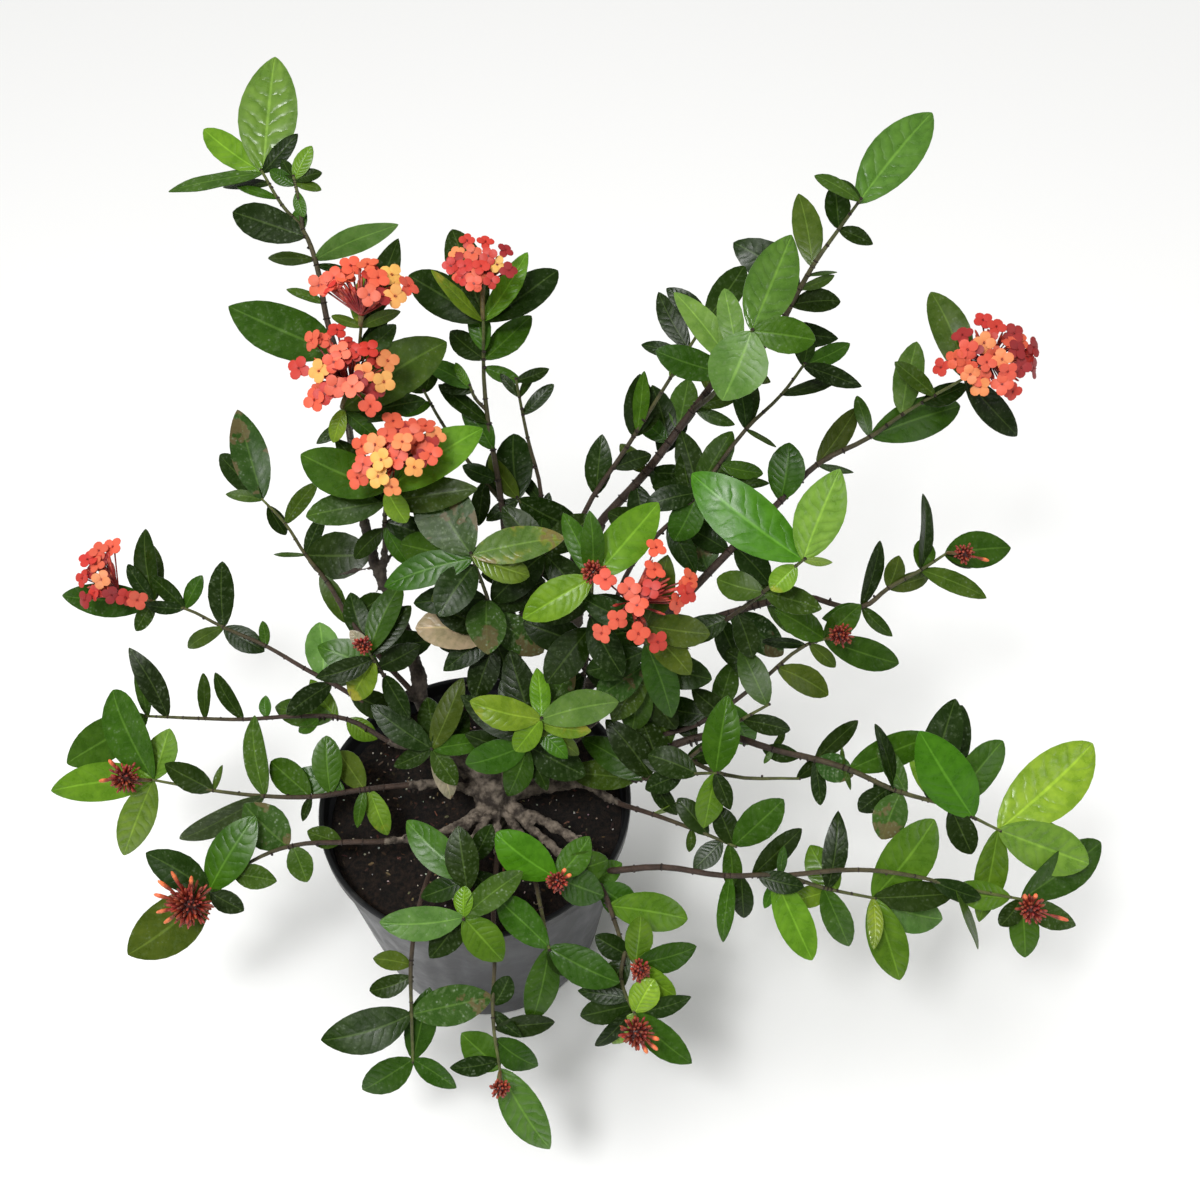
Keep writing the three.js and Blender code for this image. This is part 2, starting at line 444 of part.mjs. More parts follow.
// --- solids and lofts ---

const radians = THREE.MathUtils.degToRad;
const right = new THREE.Vector3(1, 0, 0);
const light = new THREE.Vector3(0, -Math.cos(radians(lightRise)), Math.sin(radians(lightRise)));
const across = new THREE.Vector3(0, Math.sin(radians(lightRise)), Math.cos(radians(lightRise)));
const point = ([x, y, z]) => new THREE.Vector3(x, y, z);

// A direction given by its clock angle in the lit plane and its lean towards the light.
function direction(clock, lean) {
  const flat = right.clone().multiplyScalar(Math.cos(radians(clock)));
  flat.addScaledVector(across, Math.sin(radians(clock)));
  return flat.multiplyScalar(Math.cos(radians(lean))).addScaledVector(light, Math.sin(radians(lean)));
}

function meshGeometry(points, faces) {
  const geometry = new THREE.BufferGeometry();
  geometry.setAttribute("position", new THREE.Float32BufferAttribute(points.flatMap((p) => [p.x, p.y, p.z]), 3));
  geometry.setIndex(faces.flat());
  return geometry;
}

function solid(geometry) {
  const bare = geometry.clone();
  bare.deleteAttribute("normal");
  bare.deleteAttribute("uv");
  const merged = mergeVertices(bare, 1e-4);
  return new wasm.Manifold(new wasm.Mesh({
    numProp: 3,
    vertProperties: new Float32Array(merged.attributes.position.array),
    triVerts: new Uint32Array(merged.index.array),
  }));
}

// Rings of equal size joined to a closed form: a ring of one point closes an end, a longer one gets a cap.
function loft(rings) {
  const points = rings.flat();
  const starts = rings.map((ring, i) => rings.slice(0, i).reduce((sum, r) => sum + r.length, 0));
  const faces = [];
  rings.slice(1).forEach((ring, i) => {
    const low = rings[i];
    const a = starts[i];
    const b = starts[i + 1];
    const sides = Math.max(low.length, ring.length);
    for (let k = 0; k < sides; k++) {
      const next = (k + 1) % sides;
      if (low.length > 1) faces.push([a + k, a + next, b + (ring.length > 1 ? next : 0)]);
      if (ring.length > 1) faces.push([low.length > 1 ? a + k : a, b + next, b + k]);
    }
  });
  const cap = (start, count, flip) => {
    for (let k = 1; k < count - 1; k++) {
      faces.push(flip ? [start, start + k + 1, start + k] : [start, start + k, start + k + 1]);
    }
  };
  cap(starts[0], rings[0].length, true);
  cap(starts.at(-1), rings.at(-1).length, false);
  return meshGeometry(points, faces);
}

// A round bar along a path of points, with rings square to the path.
function bar(path, radii, sides, startWay, endWay) {
  const ways = path.map((p, i) => {
    const before = i > 0 ? p.clone().sub(path[i - 1]).normalize() : null;
    const after = i < path.length - 1 ? path[i + 1].clone().sub(p).normalize() : null;
    if (!before) return (startWay ?? after).clone();
    if (!after) return (endWay ?? before).clone();
    return before.add(after).normalize();
  });
  const turn = new THREE.Quaternion();
  let side = new THREE.Vector3(0, 0, 1).cross(ways[0]);
  if (side.length() < 0.2) side = new THREE.Vector3(1, 0, 0).cross(ways[0]);
  side.normalize();
  return loft(path.map((p, i) => {
    if (i > 0) side.applyQuaternion(turn.setFromUnitVectors(ways[i - 1], ways[i]));
    const up = ways[i].clone().cross(side);
    return Array.from({ length: sides }, (_, k) => {
      const angle = (2 * Math.PI * k) / sides;
      return p.clone()
        .addScaledVector(side, radii[i] * Math.cos(angle))
        .addScaledVector(up, radii[i] * Math.sin(angle));
    });
  }));
}

const join = (solids) => solids.slice(1).reduce((sum, s) => sum.add(s), solids[0]);

// Sealed hollows and loose scraps that a join leaves are dropped with the smaller bodies.
function wholeBody(body) {
  const parts = body.decompose();
  return parts.reduce((most, part) => (part.volume() > most.volume() ? part : most));
}

// --- chance, always in the same order ---

let state = seed;
function chance(low, high) {
  state = (Math.imul(state, 1664525) + 1013904223) >>> 0;
  return low + ((high - low) * state) / 4294967296;
}

// --- leaves ---

// Share of the half breadth at a share of the length: widest past the middle, slim at the stalk.
const outline = (t) => (t ** 0.76 * (1 - t) ** 0.7) / (0.52 ** 0.76 * 0.48 ** 0.7);

// A blade that droops towards its tip and is rolled about its own length: a short stalk, then rings of
// two edges and a raised underside, up to a pointed tip.
function blade(leaf, extra) {
  const way = direction(leaf.clock, leaf.lean);
  const up = direction(leaf.clock, leaf.lean + 90);
  const face = up.clone().applyAxisAngle(way, leaf.roll);
  const side = way.clone().cross(face);
  const stations = leaf.length < smallLeaf ? [0.56] : leaf.length < largeLeaf ? [0.36, 0.74] : [0.28, 0.56, 0.82];
  const at = (t) => leaf.root.clone()
    .addScaledVector(way, leaf.length * t)
    .addScaledVector(up, -leaf.arch * leaf.length * t * t);
  const ring = (t, half) => [
    at(t).addScaledVector(side, half + extra).addScaledVector(face, bladeThickness * 0.3 + extra),
    at(t).addScaledVector(face, -bladeThickness * 0.7 - extra),
    at(t).addScaledVector(side, -half - extra).addScaledVector(face, bladeThickness * 0.3 + extra),
  ];
  const rings = stations.map((t) => ring(t, 0.5 * leaf.breadth * leaf.length * outline(t)));
  return loft([ring(0, stalkHalf), ...rings, [at(1)]]);
}

const pointOn = (path, at) => {
  const i = Math.min(Math.floor(at), path.length - 2);
  return path[i].clone().lerp(path[i + 1], at - i);
};

// --- flowers and buds ---

// A floret: a slim three-sided tube from the head's middle, and four rounded petals round its end.
function floret(from, centre, way, spin) {
  const side = new THREE.Vector3(0, 0, 1).cross(way);
  if (side.length() < 0.2) side.set(1, 0, 0);
  side.normalize();
  const up = way.clone().cross(side);
  const place = (middle, turn, reach) => middle.clone()
    .addScaledVector(side, reach * Math.cos(radians(turn) + spin))
    .addScaledVector(up, reach * Math.sin(radians(turn) + spin));
  const neck = centre.clone().addScaledVector(way, -petalThickness);
  const root = [60, 180, 300].map((turn) => place(from, turn, tubeRadius));
  const tube = [60, 180, 300].map((turn) => place(neck, turn, tubeRadius));
  const rim = Array.from({ length: 12 }, (_, i) => {
    const notch = i % 3 === 2;
    const turn = 90 * Math.floor(i / 3) + [13, 67, 85][i % 3];
    return place(centre, turn, notch ? floretRadius * petalNotch : floretRadius);
  });
  const points = [...root, ...tube, ...rim, centre.clone().addScaledVector(way, petalThickness / 2)];
  const faces = [[2, 1, 0]];
  for (let k = 0; k < 3; k++) {
    const next = (k + 1) % 3;
    faces.push([k, next, 3 + next], [k, 3 + next, 3 + k], [3 + k, 3 + next, 6 + ((4 * k + 4) % 12)]);
  }
  for (let i = 0; i < 12; i++) {
    const rimEdge = [6 + i, 6 + ((i + 1) % 12)];
    faces.push([18, ...rimEdge], [3 + Math.floor(i / 4), rimEdge[1], rimEdge[0]]);
  }
  return meshGeometry(points, faces);
}

function bud(from, way, reach) {
  const side = new THREE.Vector3(0, 0, 1).cross(way);
  if (side.length() < 0.2) side.set(1, 0, 0);
  side.normalize();
  const up = way.clone().cross(side);
  const wide = from.clone().addScaledVector(way, reach * 0.8);
  const ring = [0, 1, 2].map((k) => wide.clone()
    .addScaledVector(side, budRadius * Math.cos((k * 2 * Math.PI) / 3))
    .addScaledVector(up, budRadius * Math.sin((k * 2 * Math.PI) / 3)));
  return loft([[from], ring, [from.clone().addScaledVector(way, reach)]]);
}

function core(centre, radius) {
  return new THREE.IcosahedronGeometry(radius, 0).translate(centre.x, centre.y, centre.z);
}

// A ball whose coarse corners stand out as short buds, except at its back.
function budBall(centre, radius, detail) {
  const ball = new THREE.IcosahedronGeometry(1, detail);
  const coarse = new THREE.IcosahedronGeometry(1, detail - 1).attributes.position;
  const corners = Array.from({ length: coarse.count }, (_, i) => new THREE.Vector3().fromBufferAttribute(coarse, i));
  const places = ball.attributes.position;
  const way = new THREE.Vector3();
  for (let i = 0; i < places.count; i++) {
    way.fromBufferAttribute(places, i);
    const stands = corners.some((corner) => corner.distanceTo(way) < 0.01) && way.dot(light) > -0.15;
    way.multiplyScalar(stands ? radius : radius * budCore);
    places.setXYZ(i, way.x, way.y, way.z);
  }
  return ball.translate(centre.x, centre.y, centre.z);
}


// --- the pieces ---

const root = new THREE.Group();
root.name = "ixora";
const bodies = new Map(); // node name -> solids that will be joined
const taken = []; // every placed solid with its box, for the leaves to keep clear of

function take(node, geometry, kind) {
  const body = solid(geometry);
  if (!bodies.has(node)) bodies.set(node, []);
  bodies.get(node).push(body);
  taken.push({ node, body, kind, box: body.boundingBox() });
  return body;
}

function geometryOf(body) {
  const mesh = body.getMesh();
  const geometry = new THREE.BufferGeometry();
  geometry.setAttribute("position", new THREE.BufferAttribute(new Float32Array(mesh.vertProperties), 3));
  geometry.setIndex(new THREE.BufferAttribute(new Uint32Array(mesh.triVerts), 1));
  return geometry;
}

// Joints are tidied as far as no two corners of the result touch.
function tidied(body) {
  for (const share of [1, 1.1, 0.9, 1.2, 0.8, 0.6, 0.4, 0.2]) {
    const tidy = wholeBody(body.asOriginal().simplify(share * tidyLimit));
    const corners = geometryOf(tidy);
    if (mergeVertices(corners, 1e-3).attributes.position.count === corners.attributes.position.count) return tidy;
  }
  return wholeBody(body);
}

function addMesh(name, body, shade) {
  const [color, roughness] = shades[shade];
  const piece = new THREE.Mesh(geometryOf(body), new THREE.MeshStandardMaterial({ color, roughness, metalness: 0 }));
  piece.name = name;
  root.add(piece);
}

// Pot: a tapering shell with a flat floor and a thicker band under the rim.
const parts = 32; // round the pot
const lathe = (profile, parts) => new THREE.LatheGeometry(profile.map(([x, y]) => new THREE.Vector2(x, y)), parts)
  .rotateX(Math.PI / 2);
const wallRadius = (z) => baseRadius + ((rimRadius - rimLip - baseRadius) * z) / potHeight;
take("pot", lathe([
  [0, 0],
  [baseRadius - 3, 0],
  [baseRadius, 3],
  [wallRadius(potHeight - rimBand), potHeight - rimBand],
  [rimRadius - 0.8, potHeight - rimBand + 1.5],
  [rimRadius, potHeight],
  [rimRadius - rimLip - wall, potHeight],
  [wallRadius(floorThickness) - wall, floorThickness],
  [0, floorThickness],
], parts), "pot");

// Trunk, with the swelling where the limbs part; it goes down into the soil.
const trunkPath = [[21, -9, 118], [20, -8, 165], [18, -7, 186], [15, -3, 204], [13, 0, 219]].map(point);
const trunkRadii = [13, 15, 20, 19, 9];
take("woody_base", bar(trunkPath, trunkRadii, 8), "stem");

// Soil: fills the pot up to a low dome, with a plain hole for the trunk.
const soilEdge = wallRadius(soilTop - soilDome) - wall - gap;
const ground = solid(lathe([
  [0, floorThickness + gap],
  [wallRadius(floorThickness) - wall - gap, floorThickness + gap],
  [soilEdge, soilTop - soilDome],
  [soilEdge * 0.6, soilTop - soilDome * 0.3],
  [0, soilTop],
], parts));
const hole = solid(bar(trunkPath.map((p, i) => (i ? p : p.clone().setZ(p.z - gap))), trunkRadii.map((r) => r + gap), 8));
const soil = ground.subtract(hole);
taken.push({ node: "soil", body: soil, kind: "soil", box: soil.boundingBox() });

// Limbs
const taper = (path, [thick, slim]) => path.map((p, i) => thick + ((slim - thick) * i) / (path.length - 1));
const endWay = (path) => path.at(-1).clone().sub(path.at(-2)).normalize();
const limbEnds = new Map();
for (const limb of limbs) {
  const path = limb.path.map(point);
  take("woody_base", bar(path, taper(path, limb.thick), limb.thick[0] > 8 ? 5 : 4), "stem");
  limbEnds.set(limb.name, endWay(path));
}

// Stems of the shoots. The main stem carries on from its limb, past a fine joint.
const stemTip = 1.3;
for (const shoot of shoots) {
  shoot.stems.forEach((stem, i) => {
    const path = stem.path.map(point);
    const way = i === 0 ? limbEnds.get(shoot.limb) : null;
    if (way) path[0].addScaledVector(way, gap);
    stem.points = path;
    take("shoot_" + shoot.name, bar(path, taper(path, [stem.thick, stemTip]), stem.thick > 2.4 ? 4 : 3, way), "stem");
  });
}

const stemOf = ({ shoot, stem }) => shoots.find((s) => s.name === shoot).stems[stem].points;
const rootSink = 2; // how far before the stem's end the last leaves grow
const rootShare = 0.2; // of the stem's radius: a blade starts past its middle

// A head's stalk starts at the lit side of the stem's end, so that leaves can grow on behind it.
function stalkStart(path) {
  const way = endWay(path);
  return path.at(-1).clone().addScaledVector(light, stemTip * Math.sqrt(1 - way.dot(light) ** 2) + gap);
}

// Flower heads: a stalk, a small core, and tubes with their florets.
const stagger = 2; // between the heights of neighbouring florets
const inPlane = ([x, y], height) => right.clone().multiplyScalar(x)
  .addScaledVector(across, y).addScaledVector(light, height);
for (const head of flowers) {
  const start = stalkStart(stemOf(head));
  const centre = start.clone().add(inPlane(head.foot, 4));
  take(head.name, bar([start, start.clone().addScaledVector(light, 2), centre], [1.4, 1.5, 2], 4, light), "head");
  take(head.name, core(centre, 5), "head");
  head.florets.forEach(([x, y], i) => {
    const height = Math.sqrt(Math.max(head.dome ** 2 - x ** 2 - y ** 2, 16));
    const rise = height + stagger * ((i % 3) - 1);
    const reach = inPlane([x + head.tip[0] * rise, y + head.tip[1] * rise], rise);
    const face = reach.clone().normalize().multiplyScalar(0.6).add(light).normalize();
    take(head.name, floret(centre, centre.clone().add(reach), face, i * 0.7), "head");
  });
}

// Bud heads: a ball of buds on a short stalk.
for (const head of budHeads) {
  const start = stalkStart(stemOf(head));
  const centre = start.clone().add(inPlane(head.foot, head.radius * budCore + 4));
  take(head.name, bar([start, start.clone().addScaledVector(light, 2), centre], [1.4, 1.4, 1.5], 4, light), "head");
  take(head.name, budBall(centre, head.radius, head.detail), "head");
  for (const [clock, reach] of head.long) take(head.name, bud(centre, direction(clock, 20), reach), "head");
}

// Leaves: each tries a few leans and turns until it is clear of the other nodes, or is left out.
const apart = (a, b) => a.max[0] < b.min[0] || b.max[0] < a.min[0] || a.max[1] < b.min[1]
  || b.max[1] < a.min[1] || a.max[2] < b.min[2] || b.max[2] < a.min[2];
const tries = [];
for (const turn of [0, 6, -6, 12, -12, 20, -20]) {
  for (const tip of [0, -8, 8, -16, 16, -24, 24, -32]) tries.push([turn, tip]);
}
const leastShare = 0.84; // of a blade's length that shows, however it leans, before it grows longer
const crossingShare = 0.01; // of a blade's volume that may cross its own shoot's blades
let leftOut = 0;

for (const shoot of shoots) {
  const node = "shoot_" + shoot.name;
  for (const stem of shoot.stems) {
    for (const [at, clock, length, breadth] of stem.leaves) {
      const ease = length < largeLeaf ? 1 : 0.5; // large blades lie flatter
      const lean = ease * chance(-leanSpread, leanSpread);
      const arch = ease * chance(archLeast, archMost);
      const swing = chance(-1, 1);
      const broad = Math.max(breadth, leastBreadth);
      const roll = breadth < broad ? Math.sign(swing) * Math.acos(breadth / broad) : radians(rollSpread) * swing;
      const place = pointOn(stem.points, at);
      if (at === stem.points.length - 1) place.addScaledVector(endWay(stem.points), -rootSink);
      const thick = stem.thick + ((stemTip - stem.thick) * at) / (stem.points.length - 1);
      let best = null;
      for (const [turn, tip] of tries) {
        const long = length / Math.max(Math.cos(radians(lean + tip)), leastShare);
        const leaf = { clock: clock + turn, lean: lean + tip, roll, length: long, breadth: broad, arch };
        leaf.root = place.clone().addScaledVector(direction(leaf.clock, leaf.lean), rootShare * thick);
        const wide = solid(blade(leaf, clearance));
        const box = wide.boundingBox();
        const near = taken.filter((t) => !apart(box, t.box));
        if (near.some((t) => t.node !== node && wide.intersect(t.body).volume() > 0)) continue;
        const own = near.filter((t) => t.node === node && t.kind === "leaf");
        const crossing = own.reduce((sum, t) => sum + wide.intersect(t.body).volume(), 0) / wide.volume();
        if (!best || crossing < best.crossing) best = { leaf, crossing };
        if (crossing < crossingShare) break;
      }
      if (best) take(node, blade(best.leaf, 0), "leaf");
      else leftOut += 1;
    }
  }
}

const shadeOf = (node) => (node === "pot" ? "pot" : node === "woody_base" ? "bark"
  : node.startsWith("shoot") ? "leaf" : node.startsWith("flower") ? "petal" : "bud");
for (const [node, solids] of bodies) {
  const whole = join(solids);
  addMesh(node, node === "pot" ? whole : tidied(whole), shadeOf(node));
}
addMesh("soil", soil, "soil");

export default root;
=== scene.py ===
import math
import random

import bpy
import numpy as np
from mathutils import Matrix, Vector, kdtree, noise


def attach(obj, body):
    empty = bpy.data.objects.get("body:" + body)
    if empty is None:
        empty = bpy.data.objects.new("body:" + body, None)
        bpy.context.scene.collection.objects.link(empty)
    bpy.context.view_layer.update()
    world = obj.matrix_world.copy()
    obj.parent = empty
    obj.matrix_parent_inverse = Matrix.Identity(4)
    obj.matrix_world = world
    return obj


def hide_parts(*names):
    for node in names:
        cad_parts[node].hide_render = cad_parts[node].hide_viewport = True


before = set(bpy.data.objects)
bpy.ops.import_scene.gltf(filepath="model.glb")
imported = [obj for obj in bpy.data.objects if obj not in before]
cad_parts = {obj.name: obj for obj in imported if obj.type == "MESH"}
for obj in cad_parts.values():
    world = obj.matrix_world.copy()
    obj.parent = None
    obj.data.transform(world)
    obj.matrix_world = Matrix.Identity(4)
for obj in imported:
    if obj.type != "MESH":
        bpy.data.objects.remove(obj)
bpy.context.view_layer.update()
mm = 0.001
gap = 0.3  # in mm, between pieces that meet, as in the solids
scene = bpy.context.scene
scene.view_settings.view_transform = "Standard"


def shade(red, green, blue):  # a colour as it looks on a screen, 0 to 255
    linear = [((v / 255 + 0.055) / 1.055) ** 2.4 if v > 10 else v / 3294 for v in (red, green, blue)]
    return (*linear, 1)


# Camera, looking down on the plant along the way that the leaves face
viewpoint = {"place": (0.1, -0.574, 1.064), "tilt": 42, "lens": 38.61, "sensor": 36, "nearest": 0.02}
bpy.ops.object.camera_add(location=viewpoint["place"], rotation=(math.radians(viewpoint["tilt"]), 0, 0))
camera = bpy.context.object
camera.data.lens = viewpoint["lens"]
camera.data.sensor_width = viewpoint["sensor"]
camera.data.clip_start = viewpoint["nearest"]
scene.camera = camera

# Studio: a pale floor, even light from above, a small lamp at the front left and a broad one at the right
studio = {
    "floor": shade(251, 251, 250), "floorSize": 14,
    "air": (1, 1, 0.98, 1), "airStrength": 0.22,
    "sky": ((-0.4, 0.15, 1.0), 60, 2.3),  # where the even light comes from, its spread and its strength
    "lamps": [  # place, target, size and watts
        ((-0.4, -0.86, 1.98), (0, 0, 0.3), 0.4, 20),
        ((1.7, -1.0, 1.5), (0.1, 0, 0.3), 0.9, 6),
    ],
}


def addLamp(kind, place, target, strength):
    bpy.ops.object.light_add(type=kind, location=place)
    lamp = bpy.context.object
    lamp.data.energy = strength
    lamp.rotation_euler = (Vector(target) - Vector(place)).to_track_quat("-Z", "Y").to_euler()
    return lamp


bpy.ops.mesh.primitive_plane_add(size=studio["floorSize"])
floor = bpy.context.object
floor.name = "floor"
place, spread, strength = studio["sky"]
sky = addLamp("SUN", place, (0, 0, 0), strength)
sky.data.angle = math.radians(spread)
sky.visible_glossy = False
for place, target, size, watts in studio["lamps"]:
    addLamp("AREA", place, target, watts).data.size = size
world = scene.world or bpy.data.worlds.new("air")
scene.world = world
world.use_nodes = True
world.node_tree.nodes["Background"].inputs["Color"].default_value = studio["air"]
world.node_tree.nodes["Background"].inputs["Strength"].default_value = studio["airStrength"]
print("camera and studio ready")


def newMaterial(name, roughness=0.5, color=None):
    made = bpy.data.materials.new(name)
    made.use_nodes = True
    tree = made.node_tree
    shader = tree.nodes["Principled BSDF"]
    shader.inputs["Roughness"].default_value = roughness
    if color:
        shader.inputs["Base Color"].default_value = color
    return made, tree, shader


def addNode(tree, kind, inputs=None, **settings):
    made = tree.nodes.new("ShaderNode" + kind)
    for key, value in settings.items():
        setattr(made, key, value)
    for key, value in (inputs or {}).items():
        if isinstance(value, bpy.types.NodeSocket):
            tree.links.new(value, made.inputs[key])
        else:
            made.inputs[key].default_value = value
    return made


def mathNode(tree, kind, *values):
    return addNode(tree, "Math", dict(enumerate(values)), operation=kind).outputs[0]


def times(tree, first, second):
    return mathNode(tree, "MULTIPLY", first, second)


def plus(tree, first, second):
    return mathNode(tree, "ADD", first, second)


def ramp(tree, value, low, high, start=0.0, end=1.0):
    return addNode(tree, "MapRange", {"Value": value, "From Min": low, "From Max": high, "To Min": start,
                                      "To Max": end}, interpolation_type="SMOOTHSTEP").outputs[0]


def mixColor(tree, share, first, second, kind="MIX"):
    made = addNode(tree, "Mix", {0: share, 6: first, 7: second}, data_type="RGBA", blend_type=kind)
    return made.outputs[2]


def noiseOf(tree, where, scale, detail=2.0, rough=0.5):
    return addNode(tree, "TexNoise", {"Vector": where, "Scale": scale, "Detail": detail,
                                      "Roughness": rough}).outputs["Fac"]


def placeOf(tree):
    return addNode(tree, "TexCoord").outputs["Object"]


def tintOf(tree):
    return addNode(tree, "Attribute", attribute_name="tint").outputs["Color"]


def mottled(tree, tint, blotch, top, spans):  # the tint times a span of red, green and blue, in blotches
    shares = {i: ramp(tree, blotch, 0.3, top, low, high) for i, (low, high) in enumerate(spans)}
    return mixColor(tree, 1.0, tint, addNode(tree, "CombineColor", shares).outputs[0], "MULTIPLY")


def bump(tree, shader, height, strength, distance):
    made = addNode(tree, "Bump", {"Height": height, "Strength": strength, "Distance": distance})
    tree.links.new(made.outputs[0], shader.inputs["Normal"])


leafFinish = {
    "veins": 8.5, "bend": 1.35, "curve": 1.3, "stray": 1.3,  # side veins, and how they leave the midrib
    "strayScale": 75.0, "blotchScale": 85.0, "grainScale": 420.0, "ageScale": 45.0, "dustScale": 260.0,
    "fleckScale": 330.0,
    "palest": (0.03, 0.045, 0.012, 1),  # what a vein adds to the blade's colour
    "underside": shade(104, 124, 78), "yellow": shade(158, 152, 48), "brown": shade(106, 88, 62),
    "dust": shade(112, 130, 92), "fleck": shade(146, 160, 136),
}


def leafMaterial(name, under):
    finish = leafFinish
    made, tree, shader = newMaterial(name, 0.4)
    where = placeOf(tree)
    spot = addNode(tree, "SeparateXYZ", {0: addNode(tree, "UVMap", uv_map="leafMap").outputs[0]})
    along = spot.outputs[1]
    across = mathNode(tree, "ABSOLUTE", mathNode(tree, "MULTIPLY_ADD", spot.outputs[0], 2.0, -1.0))
    tint = tintOf(tree)
    wear = addNode(tree, "Attribute", attribute_name="wear")
    relief = wear.outputs["Alpha"]
    flecked, yellowed, browned = addNode(tree, "SeparateColor", {0: wear.outputs["Color"]}).outputs
    stray = noiseOf(tree, where, finish["strayScale"], 2.0)
    # side veins leave the midrib and bend towards the tip, with a soft pillow between each two
    steps = times(tree, along, finish["veins"])
    bend = times(tree, mathNode(tree, "POWER", across, finish["curve"]), finish["bend"])
    phase = plus(tree, mathNode(tree, "SUBTRACT", steps, bend), times(tree, stray, finish["stray"]))
    pillow = mathNode(tree, "ABSOLUTE", mathNode(tree, "SINE", times(tree, phase, math.pi)))
    edge = ramp(tree, across, 0.62, 0.98, 1.0, 0.0)
    vein = times(tree, ramp(tree, pillow, 0.0, 0.3, 1.0, 0.0), edge)
    rib = ramp(tree, across, 0.02, 0.075, 1.0, 0.0)
    blotch = noiseOf(tree, where, finish["blotchScale"], 4.0, 0.65)
    grain = noiseOf(tree, where, finish["grainScale"], 2.0, 0.6)
    color = mottled(tree, tint, blotch, 0.72, ((0.8, 1.3), (0.84, 1.2), (0.8, 1.3)))
    if under:
        color = mixColor(tree, 0.4, color, finish["underside"])
    pale = mixColor(tree, 1.0, color, finish["palest"], "ADD")
    veinShare = times(tree, vein, 0.7 if under else times(tree, relief, 0.25))
    color = mixColor(tree, veinShare, color, pale)
    # painted highlight: the pillows between the side veins are lightened, the more so the further the veins
    # stand out
    pillowHighlightShare = times(tree, times(tree, pillow, edge), times(tree, relief, 0.26))
    color = mixColor(tree, pillowHighlightShare, color, mixColor(tree, 1.0, color, (1.7, 1.6, 1.5, 1), "MULTIPLY"))
    ribColor = mixColor(tree, 1.0, mixColor(tree, 1.0, color, (1.5, 1.45, 1.3, 1), "MULTIPLY"),
                        finish["palest"], "ADD")
    color = mixColor(tree, times(tree, rib, 0.8), color, ribColor)
    # yellow and brown patches, mostly towards the tip, then dust and pale flecks
    ageing = noiseOf(tree, where, finish["ageScale"], 3.0, 0.65)
    ageing = plus(tree, ageing, ramp(tree, along, 0.55, 0.95, 0.0, 0.14))
    yellow = ramp(tree, plus(tree, ageing, yellowed), 0.95, 1.15)
    color = mixColor(tree, times(tree, yellow, 0.8), color, finish["yellow"])
    brown = ramp(tree, plus(tree, ageing, browned), 1.03, 1.07)
    color = mixColor(tree, times(tree, brown, 0.7), color, finish["brown"])
    dust = times(tree, ramp(tree, noiseOf(tree, where, finish["dustScale"], 3.0, 0.7), 0.46, 0.66),
                 times(tree, flecked, ramp(tree, pillow, 0.35, 0.85)))
    if not under:
        color = mixColor(tree, times(tree, dust, 0.5), color, finish["dust"])
    cells = addNode(tree, "TexVoronoi", {"Vector": where, "Scale": finish["fleckScale"]}).outputs["Distance"]
    fleck = times(tree, ramp(tree, cells, 0.16, 0.4, 1.0, 0.0), ramp(tree, grain, 0.42, 0.56))
    fleck = times(tree, fleck, times(tree, flecked, ramp(tree, blotch, 0.46, 0.6)))
    if not under:
        color = mixColor(tree, times(tree, fleck, 0.75), color, finish["fleck"])
    tree.links.new(color, shader.inputs["Base Color"])
    shine = mathNode(tree, "MULTIPLY_ADD", relief, 0.42, 0.08)
    tree.links.new(shine, shader.inputs["Specular IOR Level"])
    dull, dullest = (0.5, 0.65) if under else (0.24, 0.38)
    rough = ramp(tree, blotch, 0.3, 0.7, dull, dullest)
    tree.links.new(plus(tree, rough, times(tree, fleck, 0.25)), shader.inputs["Roughness"])
    high = times(tree, mathNode(tree, "POWER", pillow, 0.75), edge)
    high = times(tree, high, times(tree, ramp(tree, across, 0.0, 0.2), relief))
    high = plus(tree, high, times(tree, blotch, 0.3))
    high = plus(tree, high, times(tree, grain, 0.08))
    if under:  # pillows sink in and the midrib stands out
        high = plus(tree, times(tree, high, -0.6), times(tree, rib, 1.4))
    bump(tree, shader, high, 0.4, 0.0012)
    return made


woodFinish = {"darkFrom": 0.2, "darkTo": 0.28, "crust": (0.06, 0.055, 0.05, 1)}  # heights in metres


def woodMaterial(name, dark, light, scale, roughness=0.8, tinted=False):
    made, tree, shader = newMaterial(name, roughness)
    where = placeOf(tree)
    coarse = noiseOf(tree, where, scale, 4.0, 0.65)
    fine = noiseOf(tree, where, scale * 6, 3.0, 0.6)
    color = mixColor(tree, ramp(tree, coarse, 0.35, 0.68), dark, light)
    if tinted:
        color = mixColor(tree, 1.0, tintOf(tree), color, "MULTIPLY")
    else:  # the higher, the darker
        height = addNode(tree, "SeparateXYZ", {0: where}).outputs[2]
        darker = ramp(tree, height, woodFinish["darkFrom"], woodFinish["darkTo"], 0.0, 0.75)
        color = mixColor(tree, darker, color, dark)
    color = mixColor(tree, ramp(tree, fine, 0.55, 0.75, 0.0, 0.45), color,
                     mixColor(tree, 1.0, color, woodFinish["crust"], "ADD"))
    tree.links.new(color, shader.inputs["Base Color"])
    bump(tree, shader, plus(tree, fine, coarse), 0.7, 0.0012)
    return made


petalFinish = {"light": (1.05, 1.35, 1.4, 1), "deep": (0.75, 0.28, 0.25, 1), "blotch": 160.0, "grain": 500.0}


